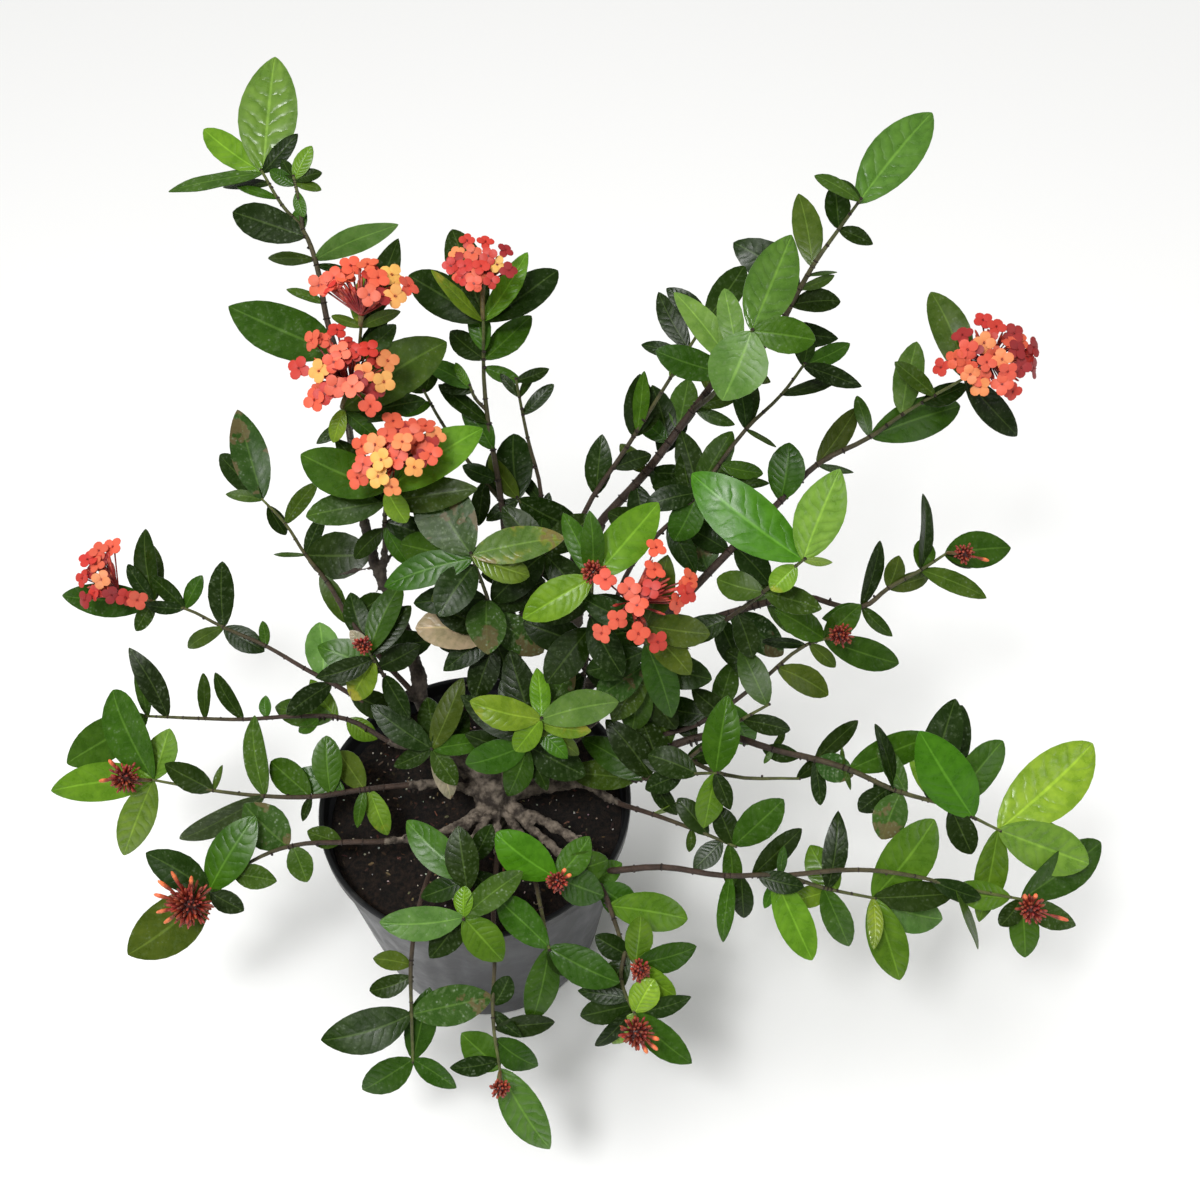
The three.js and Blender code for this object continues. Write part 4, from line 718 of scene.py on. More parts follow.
        (3.4, [(-50, -10, 222), (-85, -20, 230), (-120, -30, 236), (-155, -30, 237), (-195, -25, 237),
         (-245, -15, 237)],
         [(5, 120, 79, .46, "m"), (5, 187, 84, .38, "b"), (5, 78, 40, .76, "l"), (5, 245, 68, .4, "l"),
          (4, 152, 42, .52, "d"), (4, 72, 20, .3, "G"), (3, 103, 62, .36, "g"), (3, 208, 73, .25, "g"),
          (2, 142, 42, .56, "m"), (2, 250, 20, .42, "D"), (1.6, 95, 44, .5, "m"), (1.3, 158, 40, .54, "m"),
          (.9, 128, 36, .58, "o"), (.8, -70, 38, .46, "y"), (.9, -100, 28, .36, "M")]),
    ]),
    "left_flat": ("left_flat", [
        (2.8, [(-68, 22, 237), (-100, 36, 246), (-135, 36, 250), (-180, 32, 251), (-215, 33, 251),
         (-240, 35, 250), (-258, 36, 250)],
         [(5, 117, 60, .33, "d"), (6, 100, 44, .34, "g"), (6, 209, 80, .42, "m"), (3.85, 93, 35, .2, "g"),
          (3, 122, 42, .36, "d"), (2.6, 95, 17, .6, "M"), (1.3, 172, 52, .43, "g"),
          (1.2, 130, 40, .43, "b"), (1, -35, 28, .68, "B"), (1.6, 215, 22, .45, "M")]),
    ]),
    "left_long": ("left_long", [
        (3, [(-66, 34, 245), (-95, 44, 268), (-130, 56, 285), (-160, 70, 295), (-195, 85, 300),
         (-230, 105, 300), (-258, 113, 300)],
         [(6, 177, 80, .36, "m"), (6, 101, 60, .34, "d"), (6, 113, 62, .3, "g"), (6, 235, 29, .5, "G"),
          (6, 124, 34, .3, "D"), (5, 139, 38, .46, "d"), (5, 175, 30, .36, "d"), (5, 61, 28, .54, "M"),
          (4, 97, 54, .37, "d"), (4, 207, 39, .3, "g"), (4, -30, 36, .54, "d"), (3, 103, 20, .5, "M"),
          (1.6, 96, 44, .6, "w"), (1.3, 52, 42, .5, "D"), (1.4, 215, 40, .5, "d"), (1, -25, 40, .55, "d")]),
    ]),
    "left_mid": ("left_mid", [
        (3.4, [(-50, 50, 268), (-75, 65, 295), (-95, 85, 310), (-115, 115, 320), (-135, 140, 325),
         (-155, 170, 330), (-180, 200, 330)],
         [(6, 106, 78, .42, "s"), (6, 137, 60, .32, "d"), (6, 172, 29, .36, "g"), (5.7, -62, 27, .5, "D"),
          (5, 55, 42, .32, "g"), (4, 72, 38, .36, "d"), (4, 178, 27, .16, "G"), (4, 0, 52, .74, "d"),
          (3.3, -65, 42, .42, "g"), (2, 38, 32, .55, "d"), (1.3, 110, 40, .5, "d"), (1, 10, 44, .5, "d")]),
    ]),
    "left_inner": ("left_inner", [
        (2.8, [(-56, 33, 288), (-64, 31, 312), (-70, 30, 338)],
         [(2, 130, 20, .55, "P"), (2, 66, 54, .4, "m"), (1.5, 237, 36, .68, "y"), (1.6, 198, 42, .42, "d"),
          (1.2, 28, 34, .62, "d"), (1.8, 52, 46, .46, "d"), (1, 158, 48, .6, "m"), (.8, -60, 36, .5, "d")]),
    ]),
    "centre": ("centre", [
        (3.4, [(33, -6, 244), (47, -12, 280), (58, -18, 320)],
         [(2, 166, 51, .5, "y"), (2, 11, 58, .46, "w"), (2, 95, 37, .45, "b"), (2, 232, 31, .56, "b"),
          (1.8, -10, 38, .36, "y"), (1.7, -38, 38, .42, "o"), (1.6, -44, 30, .5, "F"),
          (1.5, 108, 60, .42, "D"), (1.3, 62, 64, .4, "S"), (1.2, 150, 62, .4, "D"),
          (1.1, 114, 50, .46, "d"), (1.1, 76, 48, .48, "S"), (1, 200, 52, .5, "m"), (.9, 248, 44, .56, "m"),
          (.9, -28, 48, .56, "d"), (.8, -64, 36, .4, "d"), (.5, 20, 44, .5, "D"), (.5, 160, 44, .5, "d")]),
    ]),
    "middle": ("middle", [
        (3, [(85, 37, 275), (92, 30, 350), (95, 20, 428)],
         [(2, 49, 70, .45, "b"), (2, 210, 54, .5, "b"), (2, 115, 49, .38, "m"), (2, 92, 42, .4, "m"),
          (1.7, -30, 44, .5, "d"), (1.6, 186, 46, .56, "D"), (1.4, -62, 48, .5, "d"),
          (1.2, 232, 48, .55, "d"), (1, 10, 52, .5, "d"), (.9, 160, 50, .55, "d"), (.5, -25, 54, .52, "d"),
          (.4, 222, 50, .5, "d")]),
    ]),
    "centre_back": ("centre_back", [
        (3.2, [(22, 53, 304), (20, 51, 360), (10, 50, 420)],
         [(2, 121, 66, .62, "s"), (2, 11, 66, .43, "k"), (2, -20, 43, .46, "l"), (1.9, 197, 66, .38, "f"),
          (1.9, 168, 58, .42, "m"), (1.8, 236, 42, .66, "d"), (1.7, 214, 40, .36, "O"),
          (1.2, -88, 38, .84, "s"), (1.2, 184, 50, .42, "d"), (1, 28, 46, .56, "d"),
          (.9, -38, 48, .56, "s"), (.6, 158, 46, .5, "d"), (.5, 182, 52, .6, "p"), (.5, 176, 54, .6, "P+"),
          (.5, 217, 46, .5, "D"), (.3, 250, 44, .5, "D"), (.6, 200, 42, .5, "D"), (.4, -70, 44, .5, "d")]),
    ]),
    "open_flower": ("mid_fork", [
        (3, [(130, 38, 272), (133, 18, 340), (131, 0, 402)],
         [(2, -8, 46, .48, "o"), (1.9, -46, 46, .46, "o"), (2, 72, 50, .5, "o"), (2, 150, 50, .42, "d"),
          (1.5, -70, 60, .4, "m"), (1.3, 200, 46, .5, "d"), (1, -15, 48, .5, "d"), (.9, 215, 44, .55, "s"),
          (.5, -56, 46, .5, "d"), (.4, 130, 46, .5, "D"), (.3, -84, 50, .5, "D"), (.2, -60, 48, .5, "G"),
          (.6, -100, 46, .5, "G"), (.8, -120, 48, .5, "G")]),
    ]),
    "centre_left": ("centre_left", [
        (2.6, [(-26, 3, 251), (-28, -4, 262)],
         [(1, 47, 38, .6, "d"), (1, 67, 58, .38, "o"), (1, -58, 34, .52, "g"), (1, 144, 56, .42, "d"),
          (1, 8, 42, .42, "m"), (1, 205, 34, .45, "d"), (.5, 100, 40, .55, "d"), (.5, -74, 42, .42, "P")]),
    ]),
    "inner_back": ("inner_back", [
        (3, [(48, 84, 334), (56, 84, 362), (60, 80, 390)],
         [(2, 38, 46, .5, "D"), (2, 132, 46, .5, "d"), (2, -48, 50, .5, "d"), (2, 222, 50, .52, "d"),
          (1, 2, 46, .5, "D"), (1, 180, 46, .5, "D"), (1, 90, 44, .5, "D"), (.6, -80, 44, .5, "D")]),
    ]),
}

# How leaves grow, in mm and degrees; their rows above give the rest
leafHabit = {
    "seed": 20, "lean": 16, "raised": 18, "arch": (0.06, 0.2), "leastBreadth": 0.34, "roll": 20,
    "stiff": 66, "fine": 58,  # from these lengths a leaf leans and arches half as much, and is meshed finer
    "stemTip": 1.3, "rootSink": 2, "rootShare": 0.2, "leastShare": 0.84,
    "turns": (0, 6, -6, 12, -12, 20, -20),  # how a leaf gives way to its neighbours
    "tips": (0, -8, 8, -16, 16, -24, 24, -32),
    "near": 0.5,  # a leaf this close to a corner of the solids is the same leaf
    "thick": 0.5, "stalk": 0.75,
}
leafShape = {  # the spans that each blade's form and colour are drawn from
    "fullness": (-0.08, 0.18), "fold": (-0.08, 0.3), "wave": (0.02, 0.1), "twist": (-0.25, 0.25),
    "tipDrop": (0, 0.5), "sway": (-0.04, 0.04), "bright": (0.74, 1.3), "warm": (-0.12, 0.12),
    "flecks": (0.4, 1.3),
}
tones = {  # colour, then flecks, yellow and brown patches, and how far the veins stand out, which also sets how strong the painted highlight on the pillows is
    "l": (shade(99, 133, 40), 0.0, 0.0, 0.0, 1.0),  # light
    "b": (shade(78, 114, 20), 0.0, 0.03, 0.0, 0.5),  # bright
    "v": (shade(110, 140, 30), 0.0, 0.05, 0.0, 1.1),  # vivid, towards yellow
    "f": (shade(54, 98, 10), 0.0, 0.0, 0.0, 0.4),  # fresh
    "e": (shade(62, 98, 28), 0.1, 0.0, 0.0, 1.2),  # even, with deep veins
    "m": (shade(48, 82, 13), 0.25, 0.0, 0.0, 0.3),  # middle green
    "d": (shade(26, 44, 6), 0.3, 0.0, 0.0, 0.18),  # dark
    "g": (shade(54, 78, 22), 0.6, 0.0, 0.0, 0.08),  # greyish and dusty
    "o": (shade(62, 80, 20), 0.2, 0.12, 0.0, 0.2),  # olive
    "y": (shade(96, 128, 30), 0.2, 0.36, 0.22, 0.4),  # yellowing
    "w": (shade(88, 122, 52), 0.4, 0.0, 0.0, 0.22),  # pale with painted sheen, and dusty
    "h": (shade(82, 120, 38), 0.0, 0.0, 0.0, 1.4),  # with the highest pillows
    "s": (shade(50, 78, 28), 1.0, 0.15, 0.46, 0.1),  # speckled, with brown patches
    "k": (shade(86, 118, 48), 0.9, 0.46, 0.46, 0.5),  # old, with yellow and brown patches
    "p": (shade(140, 130, 104), 0.0, 0.0, 0.35, 0.6),  # parched
}
smallRows = (0, 0.05, 0.16, 0.3, 0.46, 0.62, 0.77, 0.89, 0.97, 1)
largeRows = (0, 0.04, 0.1, 0.19, 0.29, 0.4, 0.51, 0.62, 0.72, 0.81, 0.89, 0.95, 0.985, 1)


def outline(t):  # widest a little before the middle, with a short point
    return t ** 0.76 * (1 - t) ** 0.7 / (0.52 ** 0.76 * 0.48 ** 0.7)


def makeLeafModel(name, columns, rows):  # a flat blade one long and one broad, as thick as a leaf in mm
    count = len(rows) - 1
    pickNone()
    bpy.ops.mesh.primitive_grid_add(x_subdivisions=columns, y_subdivisions=count, size=1,
                                    location=(0, 0.5, 0))
    bpy.ops.object.transform_apply(location=True)
    piece = bpy.context.object
    piece.name = name
    piece.data.uv_layers[0].name = "leafMap"
    bpy.ops.object.mode_set(mode="EDIT")
    bpy.ops.mesh.select_mode(type="VERT")
    for i in range(count, -1, -1):  # from the tip down, so that no row meets the next
        selectPoints(lambda place, y=i / count: abs(place.y - y) < 1e-4 and place.z == 0)
        bpy.ops.transform.resize(value=(max(outline(rows[i]), 0.02), 1, 1), center_override=(0, i / count, 0))
        bpy.ops.transform.translate(value=(0, rows[i] - i / count, 1))
    bpy.ops.mesh.select_all(action="SELECT")
    bpy.ops.transform.translate(value=(0, 0, -1))
    bpy.ops.object.mode_set(mode="OBJECT")
    for corner, loop in zip(piece.data.uv_layers["leafMap"].data, piece.data.loops):
        corner.uv.y = piece.data.vertices[loop.vertex_index].co.y
    piece.data.materials.append(leafTop)
    piece.data.materials.append(leafUnder)
    applyModifier(piece, "SOLIDIFY", thickness=leafHabit["thick"], offset=-1, material_offset=1)
    smooth(50)
    return piece


smallModel = makeLeafModel("smallLeaf", 4, smallRows)
largeModel = makeLeafModel("largeLeaf", 6, largeRows)
modelPoints = {model.name: pointsOf(model) for model in (smallModel, largeModel)}
print("leaf models ready")

draws = {"last": leafHabit["seed"], "factor": 1664525, "step": 1013904223, "span": 4294967296}


def chance(low, high):  # the same draws as the solids' leaves
    draws["last"] = (draws["last"] * draws["factor"] + draws["step"]) % draws["span"]
    return low + (high - low) * draws["last"] / draws["span"]


def makeLeaf(leaf, dice):
    length, breadth = leaf["length"], leaf["breadth"]
    model = largeModel if length > leafHabit["fine"] else smallModel
    shape = modelPoints[model.name]
    piece = copyOf(model)
    way = direction(leaf["clock"], leaf["lean"])
    up = direction(leaf["clock"], leaf["lean"] + 90)
    face = Matrix.Rotation(leaf["roll"], 3, way) @ up
    side = way.cross(face)
    t = shape[:, 1]
    x = shape[:, 0] * breadth * length
    half = 0.5 * breadth * length
    share = x / half
    x = x * (1.03 - t) ** dice.uniform(*leafShape["fullness"]) * 1.02
    x = x + np.sign(shape[:, 0]) * leafHabit["stalk"] * (1 - t) ** 8
    # folded along the midrib and waved at the edge, with a drooping tip and a slight twist
    fold, wave = dice.uniform(*leafShape["fold"]), dice.uniform(*leafShape["wave"])
    phase, twist = dice.uniform(0, 6.28), dice.uniform(*leafShape["twist"])
    middle = np.sin(np.pi * np.clip(t, 0, 1)) ** 0.7
    z = shape[:, 2] + fold * np.abs(x) * middle - 0.35 * fold * x * x / half
    z = z + wave * half * share ** 2 * np.sin(phase + t * 7 + np.sign(x) * 1.3) * middle
    drop = dice.uniform(*leafShape["tipDrop"]) * length
    z = z - drop * np.clip(t - 0.72, 0, 1) ** 2 * (1 if length > 30 else 0.3)
    x = x + dice.uniform(*leafShape["sway"]) * length * (t * (1 - t) * 4)
    turn = twist * (t - 0.5)
    x, z = x * np.cos(turn) - z * np.sin(turn), x * np.sin(turn) + z * np.cos(turn)
    places = np.array(leaf["root"])[None] + np.outer(length * t, way) + np.outer(x, side) + np.outer(z, face)
    places = places - np.outer(leaf["arch"] * length * t * t, up)
    movePoints(piece, places * mm)
    color, flecks, yellow, brown, relief = tones[leaf["tone"]]
    red, green, blue = color[:3]
    bright, warm = dice.uniform(*leafShape["bright"]), dice.uniform(*leafShape["warm"])
    paint(piece, "tint", (red * bright * (1 + warm), green * bright, blue * bright * (1 - warm), 1))
    paint(piece, "wear", (flecks * dice.uniform(*leafShape["flecks"]), yellow, brown, relief))
    return piece


stemLook = {"old": shade(60, 46, 38), "young": shade(84, 94, 46), "overlap": 3, "slim": 0.8,
            "ring": shade(44, 34, 28), "ringHalf": 0.8, "ringSizes": (0.9, 1.28, 0.9)}


def paintStems(piece, runs):  # brown wood at the foot of the main stem, green towards the ends
    spots, ages = [], []
    for i, run in enumerate(runs):
        path = run[0]
        steps = 4 * (len(path) - 1)
        for k in range(steps + 1):
            spots.append(np.array(pointOn(path, k / 4)) * mm)
            age = k / steps
            ages.append(age if i == 0 else 0.55 + 0.45 * age)
    spots, ages = np.array(spots), np.array(ages)
    near = np.array([np.argmin(((spots - p) ** 2).sum(1)) for p in pointsOf(piece)])
    share = np.clip((ages[near] - 0.45) / 0.55, 0, 1)[:, None] ** 1.5
    paint(piece, "tint", np.array(stemLook["old"]) * (1 - share) + np.array(stemLook["young"]) * share)
    paint(piece, "wear", (0, 0, 0, 1))


def radiusAt(thick, at, last):  # of a stem that thins towards its tip
    return thick + (leafHabit["stemTip"] - thick) * at / last


def layLeaf(place, radius, row, corners, dice):  # how far it is from the solids' leaf, and the leaf
    clock, length, breadth, tone = row[1:]
    inSolids = tone.islower()
    draw = chance if inSolids else dice.uniform
    broad = max(breadth, leafHabit["leastBreadth"])
    ease = 1 if length < leafHabit["stiff"] else 0.5
    lean = ease * draw(-leafHabit["lean"], leafHabit["lean"])
    if tone.endswith("+"):
        lean = leafHabit["raised"]
    arch = ease * draw(*leafHabit["arch"])
    swing = draw(-1, 1)
    roll = math.radians(leafHabit["roll"]) * swing
    if breadth < broad:  # seen edge on, so it rolls and keeps its real breadth
        roll = math.copysign(math.acos(breadth / broad), swing)
    best = None
    for turn in leafHabit["turns"]:
        for tip in leafHabit["tips"]:
            long = length / max(math.cos(math.radians(lean + tip)), leafHabit["leastShare"])
            leaf = {"clock": clock + turn, "lean": lean + tip, "roll": roll, "length": long,
                    "breadth": broad, "arch": arch, "tone": tone[0].lower()}
            way = direction(leaf["clock"], leaf["lean"])
            leaf["root"] = place + way * leafHabit["rootShare"] * radius
            end = leaf["root"] + way * long - direction(leaf["clock"], leaf["lean"] + 90) * arch * long
            off = corners.find(end)[2] if inSolids else 0
            if best is None or off < best[0]:
                best = (off, leaf)
    return best


def growShoot(name, limb, stems):
    node = "shoot_" + name
    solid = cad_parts[node].data.vertices
    corners = kdtree.KDTree(len(solid))
    for corner in solid:
        corners.insert(corner.co / mm, corner.index)
    corners.balance()
    dice = random.Random("shoot " + name)
    runs, rings, laid = [], [], []
    for i, (thick, path, rows) in enumerate(stems):
        path = [Vector(p) for p in path]
        start = endWay(limbs[limb][2]) if i == 0 else None
        if start:
            path[0] += start * gap
        last = len(path) - 1
        for row in rows:
            at = row[0]
            place = pointOn(path, at)
            if at == last:
                place -= endWay(path) * leafHabit["rootSink"]
            laid.append(layLeaf(place, radiusAt(thick, at, last), row, corners, dice))
        # rings on the stem where leaves sit, and at every half step
        for at in sorted({row[0] for row in rows} | {k / 2 for k in range(1, 2 * last)}):
            way = (pointOn(path, min(at + 0.1, last)) - pointOn(path, at - 0.1)).normalized()
            way *= stemLook["ringHalf"]
            place = pointOn(path, at)
            radius = radiusAt(thick, at, last) * stemLook["slim"]
            radii = [radius * size for size in stemLook["ringSizes"]]
            rings.append(([place - way, place, place + way], radii))
        if start:
            path.insert(0, path[0] - start * stemLook["overlap"])
        runs.append((path, [r * stemLook["slim"] for r in taper(path, thick, leafHabit["stemTip"])]))
    stem = tubes("stems_" + name, runs, 8)
    dress(stem, stemSkin)
    paintStems(stem, runs)
    knots = tubes("knots_" + name, rings, 6, 2)
    dress(knots, stemSkin)
    paint(knots, "tint", stemLook["ring"])
    paint(knots, "wear", (0, 0, 0, 1))
    piece = joined("foliage_" + name, [stem, knots] + [makeLeaf(leaf, dice) for off, leaf in laid])
    hand(piece, node)
    return sum(off > leafHabit["near"] for off, leaf in laid)


lost = sum(growShoot(name, limb, stems) for name, (limb, stems) in shoots.items())
print("shoots grown,", lost, "leaves not found again in the solids")

# The trunk and its limbs: one rough skin round them all, with short stubs and thin bare twigs
trunk = {"path": [(21, -9, 118), (20, -8, 165), (18, -7, 186), (15, -3, 204), (13, 0, 219)],
         "radii": [13, 15, 20, 19, 9], "grain": 1.3, "twigs": 22, "slim": 0.84, "seed": 4,
         "stubs": 2, "stubReach": (3, 7), "stubRadii": [1.6, 1.3, 1],
         "twigReach": (18, 46), "twigBend": (2, 8), "twigRadii": [1.5, 1.4, 1.2],
         "swell": 1.5, "swellScale": 130}
dice = random.Random(trunk["seed"])
runs = [(trunk["path"], [r * trunk["slim"] for r in trunk["radii"]])]
for thick, slim, path in limbs.values():
    runs.append((path, [r * trunk["slim"] for r in taper(path, thick, slim)]))
    for i in range(trunk["stubs"]):
        at = dice.uniform(0.8, len(path) - 1.2)
        spot = pointOn(path, at)
        way = direction(dice.uniform(0, 360), dice.uniform(-20, 60))
        end = spot + way * (thick + dice.uniform(*trunk["stubReach"]))
        runs.append(([spot, spot + way * (thick + 2), end], trunk["stubRadii"]))
for i in range(trunk["twigs"]):  # close to the soil
    path = dice.choice(list(limbs.values()))[2]
    spot = pointOn(path, dice.uniform(0.1, 0.9))
    way = direction(dice.uniform(0, 360), dice.uniform(-50, -10))
    bend = direction(dice.uniform(0, 360), 0) * dice.uniform(*trunk["twigBend"])
    long = dice.uniform(*trunk["twigReach"])
    runs.append(([spot, spot + way * long * 0.5 + bend, spot + way * long], trunk["twigRadii"]))
wood = tubes("woodyBase", runs, 12)
applyModifier(wood, "REMESH", mode="VOXEL", voxel_size=trunk["grain"] * mm, use_smooth_shade=True)
applyModifier(wood, "SMOOTH", factor=0.5, iterations=3)
places = pointsOf(wood)
normals = np.empty(len(places) * 3)
wood.data.vertices.foreach_get("normal", normals)
normals = normals.reshape(-1, 3)
swell = np.array([noise.fractal(Vector(p) * trunk["swellScale"], 0.6, 2.2, 3) for p in places])
movePoints(wood, places + normals * (swell * trunk["swell"] * mm)[:, None])
dress(wood, bark)
hand(wood, "woody_base")
print("woody base ready")

# Flower heads: the stem that each stands on, its foot across and up from there, the dome's radius, how the
# dome tips, the florets' tones and places, florets in a lower layer, and their size where it isn't whole
flowers = {
    "back": {
        "shoot": "back", "stem": 0, "foot": (0, 23), "dome": 33, "tip": (0.09, -0.26), "lower": 5,
        "share": 0.8, "tones": "rorcrrydrrcdrr",
        "florets": [(-11, 31), (-18, 22), (-22, 13), (-7, 22), (-1, 13), (4, 20), (10, 14), (16, 24),
                    (2, 30), (6, 3), (-6, 1), (18, 10), (-14, 5), (-12, 13)]},
    "upper_left": {
        "shoot": "upper_left", "stem": 2, "foot": (1, 5), "dome": 32, "tip": (0.18, -0.24), "lower": 8,
        "tones": "cccccyycc",
        "florets": [(-18, 25), (-7, 33), (4, 34), (11, 25), (5, 14), (20, 27), (22, 13), (31, 20),
                    (-28, 20)]},
    "left": {
        "shoot": "upper_left", "stem": 3, "foot": (6, 13), "dome": 35, "tip": (0.2, -0.18), "lower": 13,
        "tones": "crpycropyccrco",
        "florets": [(-26, 32), (-9, 39), (-7, 24), (-21, 11), (-11, 17), (12, 26), (9, 10), (1, 1),
                    (22, 4), (13, -12), (-24, -8), (-35, 13), (-10, 1), (25, 18)]},
    "left_front": {
        "shoot": "left_front", "stem": 0, "foot": (6, 17), "dome": 33, "tip": (0.16, -0.11), "lower": 9,
        "tones": "coyccoccoccccyyo",
        "florets": [(-22, 11), (-13, 12), (-9, 2), (-1, 28), (-5, 18), (5, 14), (12, 19), (21, 25),
                    (28, 18), (24, 6), (-21, -1), (-25, -10), (1, 3), (-11, -9), (13, -3), (-2, -16)]},
    "right": {
        "shoot": "right", "stem": 0, "foot": (15, 10), "dome": 32, "tip": (-0.3, -0.19), "lower": 9,
        "tones": "occocooccddddrrddrr",
        "florets": [(-4, 14), (-16, 9), (-25, 2), (-14, -9), (-2, 0), (9, 2), (-7, -18), (9, -16),
                    (13, -7), (23, -4), (33, -5), (33, 11), (18, 21), (5, 26), (-5, 31), (-20, 20),
                    (20, 9), (-36, -4), (17, -22)]},
    "far_left": {
        "shoot": "left_long", "stem": 0, "foot": (-24, 7), "dome": 30, "tip": (0.38, -0.02), "lower": 6,
        "tones": "ccrcordcd",
        "florets": [(-5, 36), (-16, 33), (-25, 26), (-18, 22), (-14, 10), (-29, 11), (-6, -2), (14, -6),
                    (-27, -6)]},
    "open": {
        "shoot": "open_flower", "stem": 0, "foot": (-11, 15), "dome": 28, "tip": (-0.03, 0), "lower": 3,
        "tones": "crcccrccccrc",
        "florets": [(0, 9), (14, 9), (17, 22), (5, -2), (32, -1), (39, 6), (41, 16), (18, 37), (-19, -21),
                    (6, -21), (19, -27), (-16, 15)]},
}
floretHabit = {
    "reach": 8.0, "breadth": 7.6, "thick": 0.45, "stagger": 2, "fillers": 90, "stray": 0.32,
    "tube": [0.6, 0.6, 0.75, 0.95], "tubeColor": shade(124, 34, 32), "budTip": shade(176, 66, 50),
    "stalk": [1.4, 1.5, 2], "stalkColor": shade(96, 84, 44), "stalkHeight": 4,
    "petalTips": (0.16, -0.14, 0.08),  # how far the other three petals lean, in radians
}
petalTones = {"c": shade(218, 92, 66), "o": shade(230, 138, 86), "y": shade(236, 172, 88),
              "r": shade(194, 56, 46), "d": shade(152, 42, 42), "p": shade(226, 116, 88)}


def makeFloretModel():  # four rounded petals round the origin, facing up, in mm
    pickNone()
    long, broad = floretHabit["reach"], floretHabit["breadth"]
    bpy.ops.mesh.primitive_circle_add(vertices=10, radius=1, fill_type="TRIFAN")
    petal = bpy.context.object
    bpy.ops.object.mode_set(mode="EDIT")
    bpy.ops.mesh.select_mode(type="VERT")
    bpy.ops.mesh.select_all(action="SELECT")
    bpy.ops.transform.resize(value=(broad / 2, long * 0.48, 1))
    bpy.ops.transform.translate(value=(0, long * 0.53, 0.2))
    selectPoints(lambda place: place.y < long * 0.3)
    bpy.ops.transform.resize(value=(0.8, 1, 1), center_override=(0, 0, 0))
    bpy.ops.transform.translate(value=(0, 0, -0.5))
    selectPoints(lambda place: place.y > long * 0.8)
    bpy.ops.transform.translate(value=(0, 0, -0.7))
    selectPoints(lambda place: abs(place.x) > broad * 0.42 and place.y > long * 0.3)
    bpy.ops.transform.translate(value=(0, 0, -0.35))
    bpy.ops.object.mode_set(mode="OBJECT")
    applyModifier(petal, "SOLIDIFY", thickness=floretHabit["thick"], offset=-1)
    petals = [petal]
    for k, lean in enumerate(floretHabit["petalTips"], 1):
        other = copyOf(petal)
        tip = Matrix.Rotation(lean, 4, "X") @ Matrix.Translation((0, 0, 0.16 * (k % 2)))
        other.data.transform(Matrix.Rotation(k * math.pi / 2, 4, "Z") @ tip)
        petals.append(other)
    pickNone()
    bpy.ops.mesh.primitive_cone_add(vertices=5, radius1=0.35, radius2=0.2, depth=2.0, location=(0, 0, 0.9))
    bpy.ops.object.transform_apply(location=True)
    petals.append(bpy.context.object)
    whole = joined("floret", petals)
    layer = whole.data.uv_layers.active or whole.data.uv_layers.new(name="leafMap")
    layer.name = "leafMap"
    for corner, loop in zip(layer.data, whole.data.loops):
        place = whole.data.vertices[loop.vertex_index].co
        corner.uv = (0.5 + place.x / (2 * long), 0.5 + place.y / (2 * long))
    dress(whole, petalSkin)
    smooth(45)
    return whole


def makeBudModel():  # a club one long and one in radius at its thickest
    pickNone()
    radius = 0.4
    bpy.ops.mesh.primitive_circle_add(vertices=6, radius=radius, fill_type="NGON")
    piece = bpy.context.object
    piece.name = "bud"
    bpy.ops.object.mode_set(mode="EDIT")
    bpy.ops.mesh.select_all(action="SELECT")
    for step, wider in ((0.5, 0.5), (0.2, 0.95), (0.15, 1.0), (0.11, 0.72), (0.04, 0.25)):
        bpy.ops.mesh.extrude_region_move(TRANSFORM_OT_translate={"value": (0, 0, step)})
        bpy.ops.transform.resize(value=(wider / radius, wider / radius, 1))
        radius = wider
    bpy.ops.mesh.select_all(action="SELECT")
    bpy.ops.mesh.normals_make_consistent(inside=False)
    bpy.ops.object.mode_set(mode="OBJECT")
    smooth(60)
    piece.data.materials.append(tubeSkin)
    return piece


floretModel = makeFloretModel()
budModel = makeBudModel()


def placed(model, matrix, tint, tipTint=None):
    piece = copyOf(model)
    colors = np.array(tint)[None]
    if tipTint:
        colors = np.where(pointsOf(piece)[:, 2:] > 0.8, np.array(tipTint)[None], colors)
    piece.data.transform(matrix)
    paint(piece, "tint", colors)
    return piece


def frameOf(place, way, turn=0.0, wide=1.0, long=1.0):  # stands a model at a place, its top along the way
    spin = way.to_track_quat("Z", "Y").to_matrix().to_4x4() @ Matrix.Rotation(turn, 4, "Z")
    return Matrix.Scale(mm, 4) @ Matrix.Translation(place) @ spin @ Matrix.Diagonal((wide, wide, long, 1))


def varied(color, dice, amount=0.1):
    return [c * dice.uniform(1 - amount, 1 + amount) for c in color[:3]] + [1]


def swayed(way, dice, amount):
    return (way + Vector([dice.uniform(-amount, amount) for _ in range(3)])).normalized()


def stalkStart(shoot, stem):  # on the lit side of the stem's end
    path = shoots[shoot][1][stem][1]
    way = endWay(path)
    return Vector(path[-1]) + light * (leafHabit["stemTip"] * math.sqrt(1 - way.dot(light) ** 2) + gap)


def makeStalk(start, centre, radii, color):
    stalk = tubes("stalk", [([start - light, start + light * 2, centre], radii)], 8)
    dress(stalk, tubeSkin)
    paint(stalk, "tint", color)
    return stalk


def makeFloret(centre, reach, turn, size, tone, dice):  # the floret, and its tube's path with its radii
    face = swayed((reach.normalized() * 0.6 + light).normalized(), dice, floretHabit["stray"])
    end = centre + reach
    tint = varied(petalTones[tone], dice, 0.09)
    path = [centre + reach * 0.05, centre + reach * 0.5 - light * 1.5, end - face * 1.2, end]
    return placed(floretModel, frameOf(end, face, turn, size), tint), (path, floretHabit["tube"])


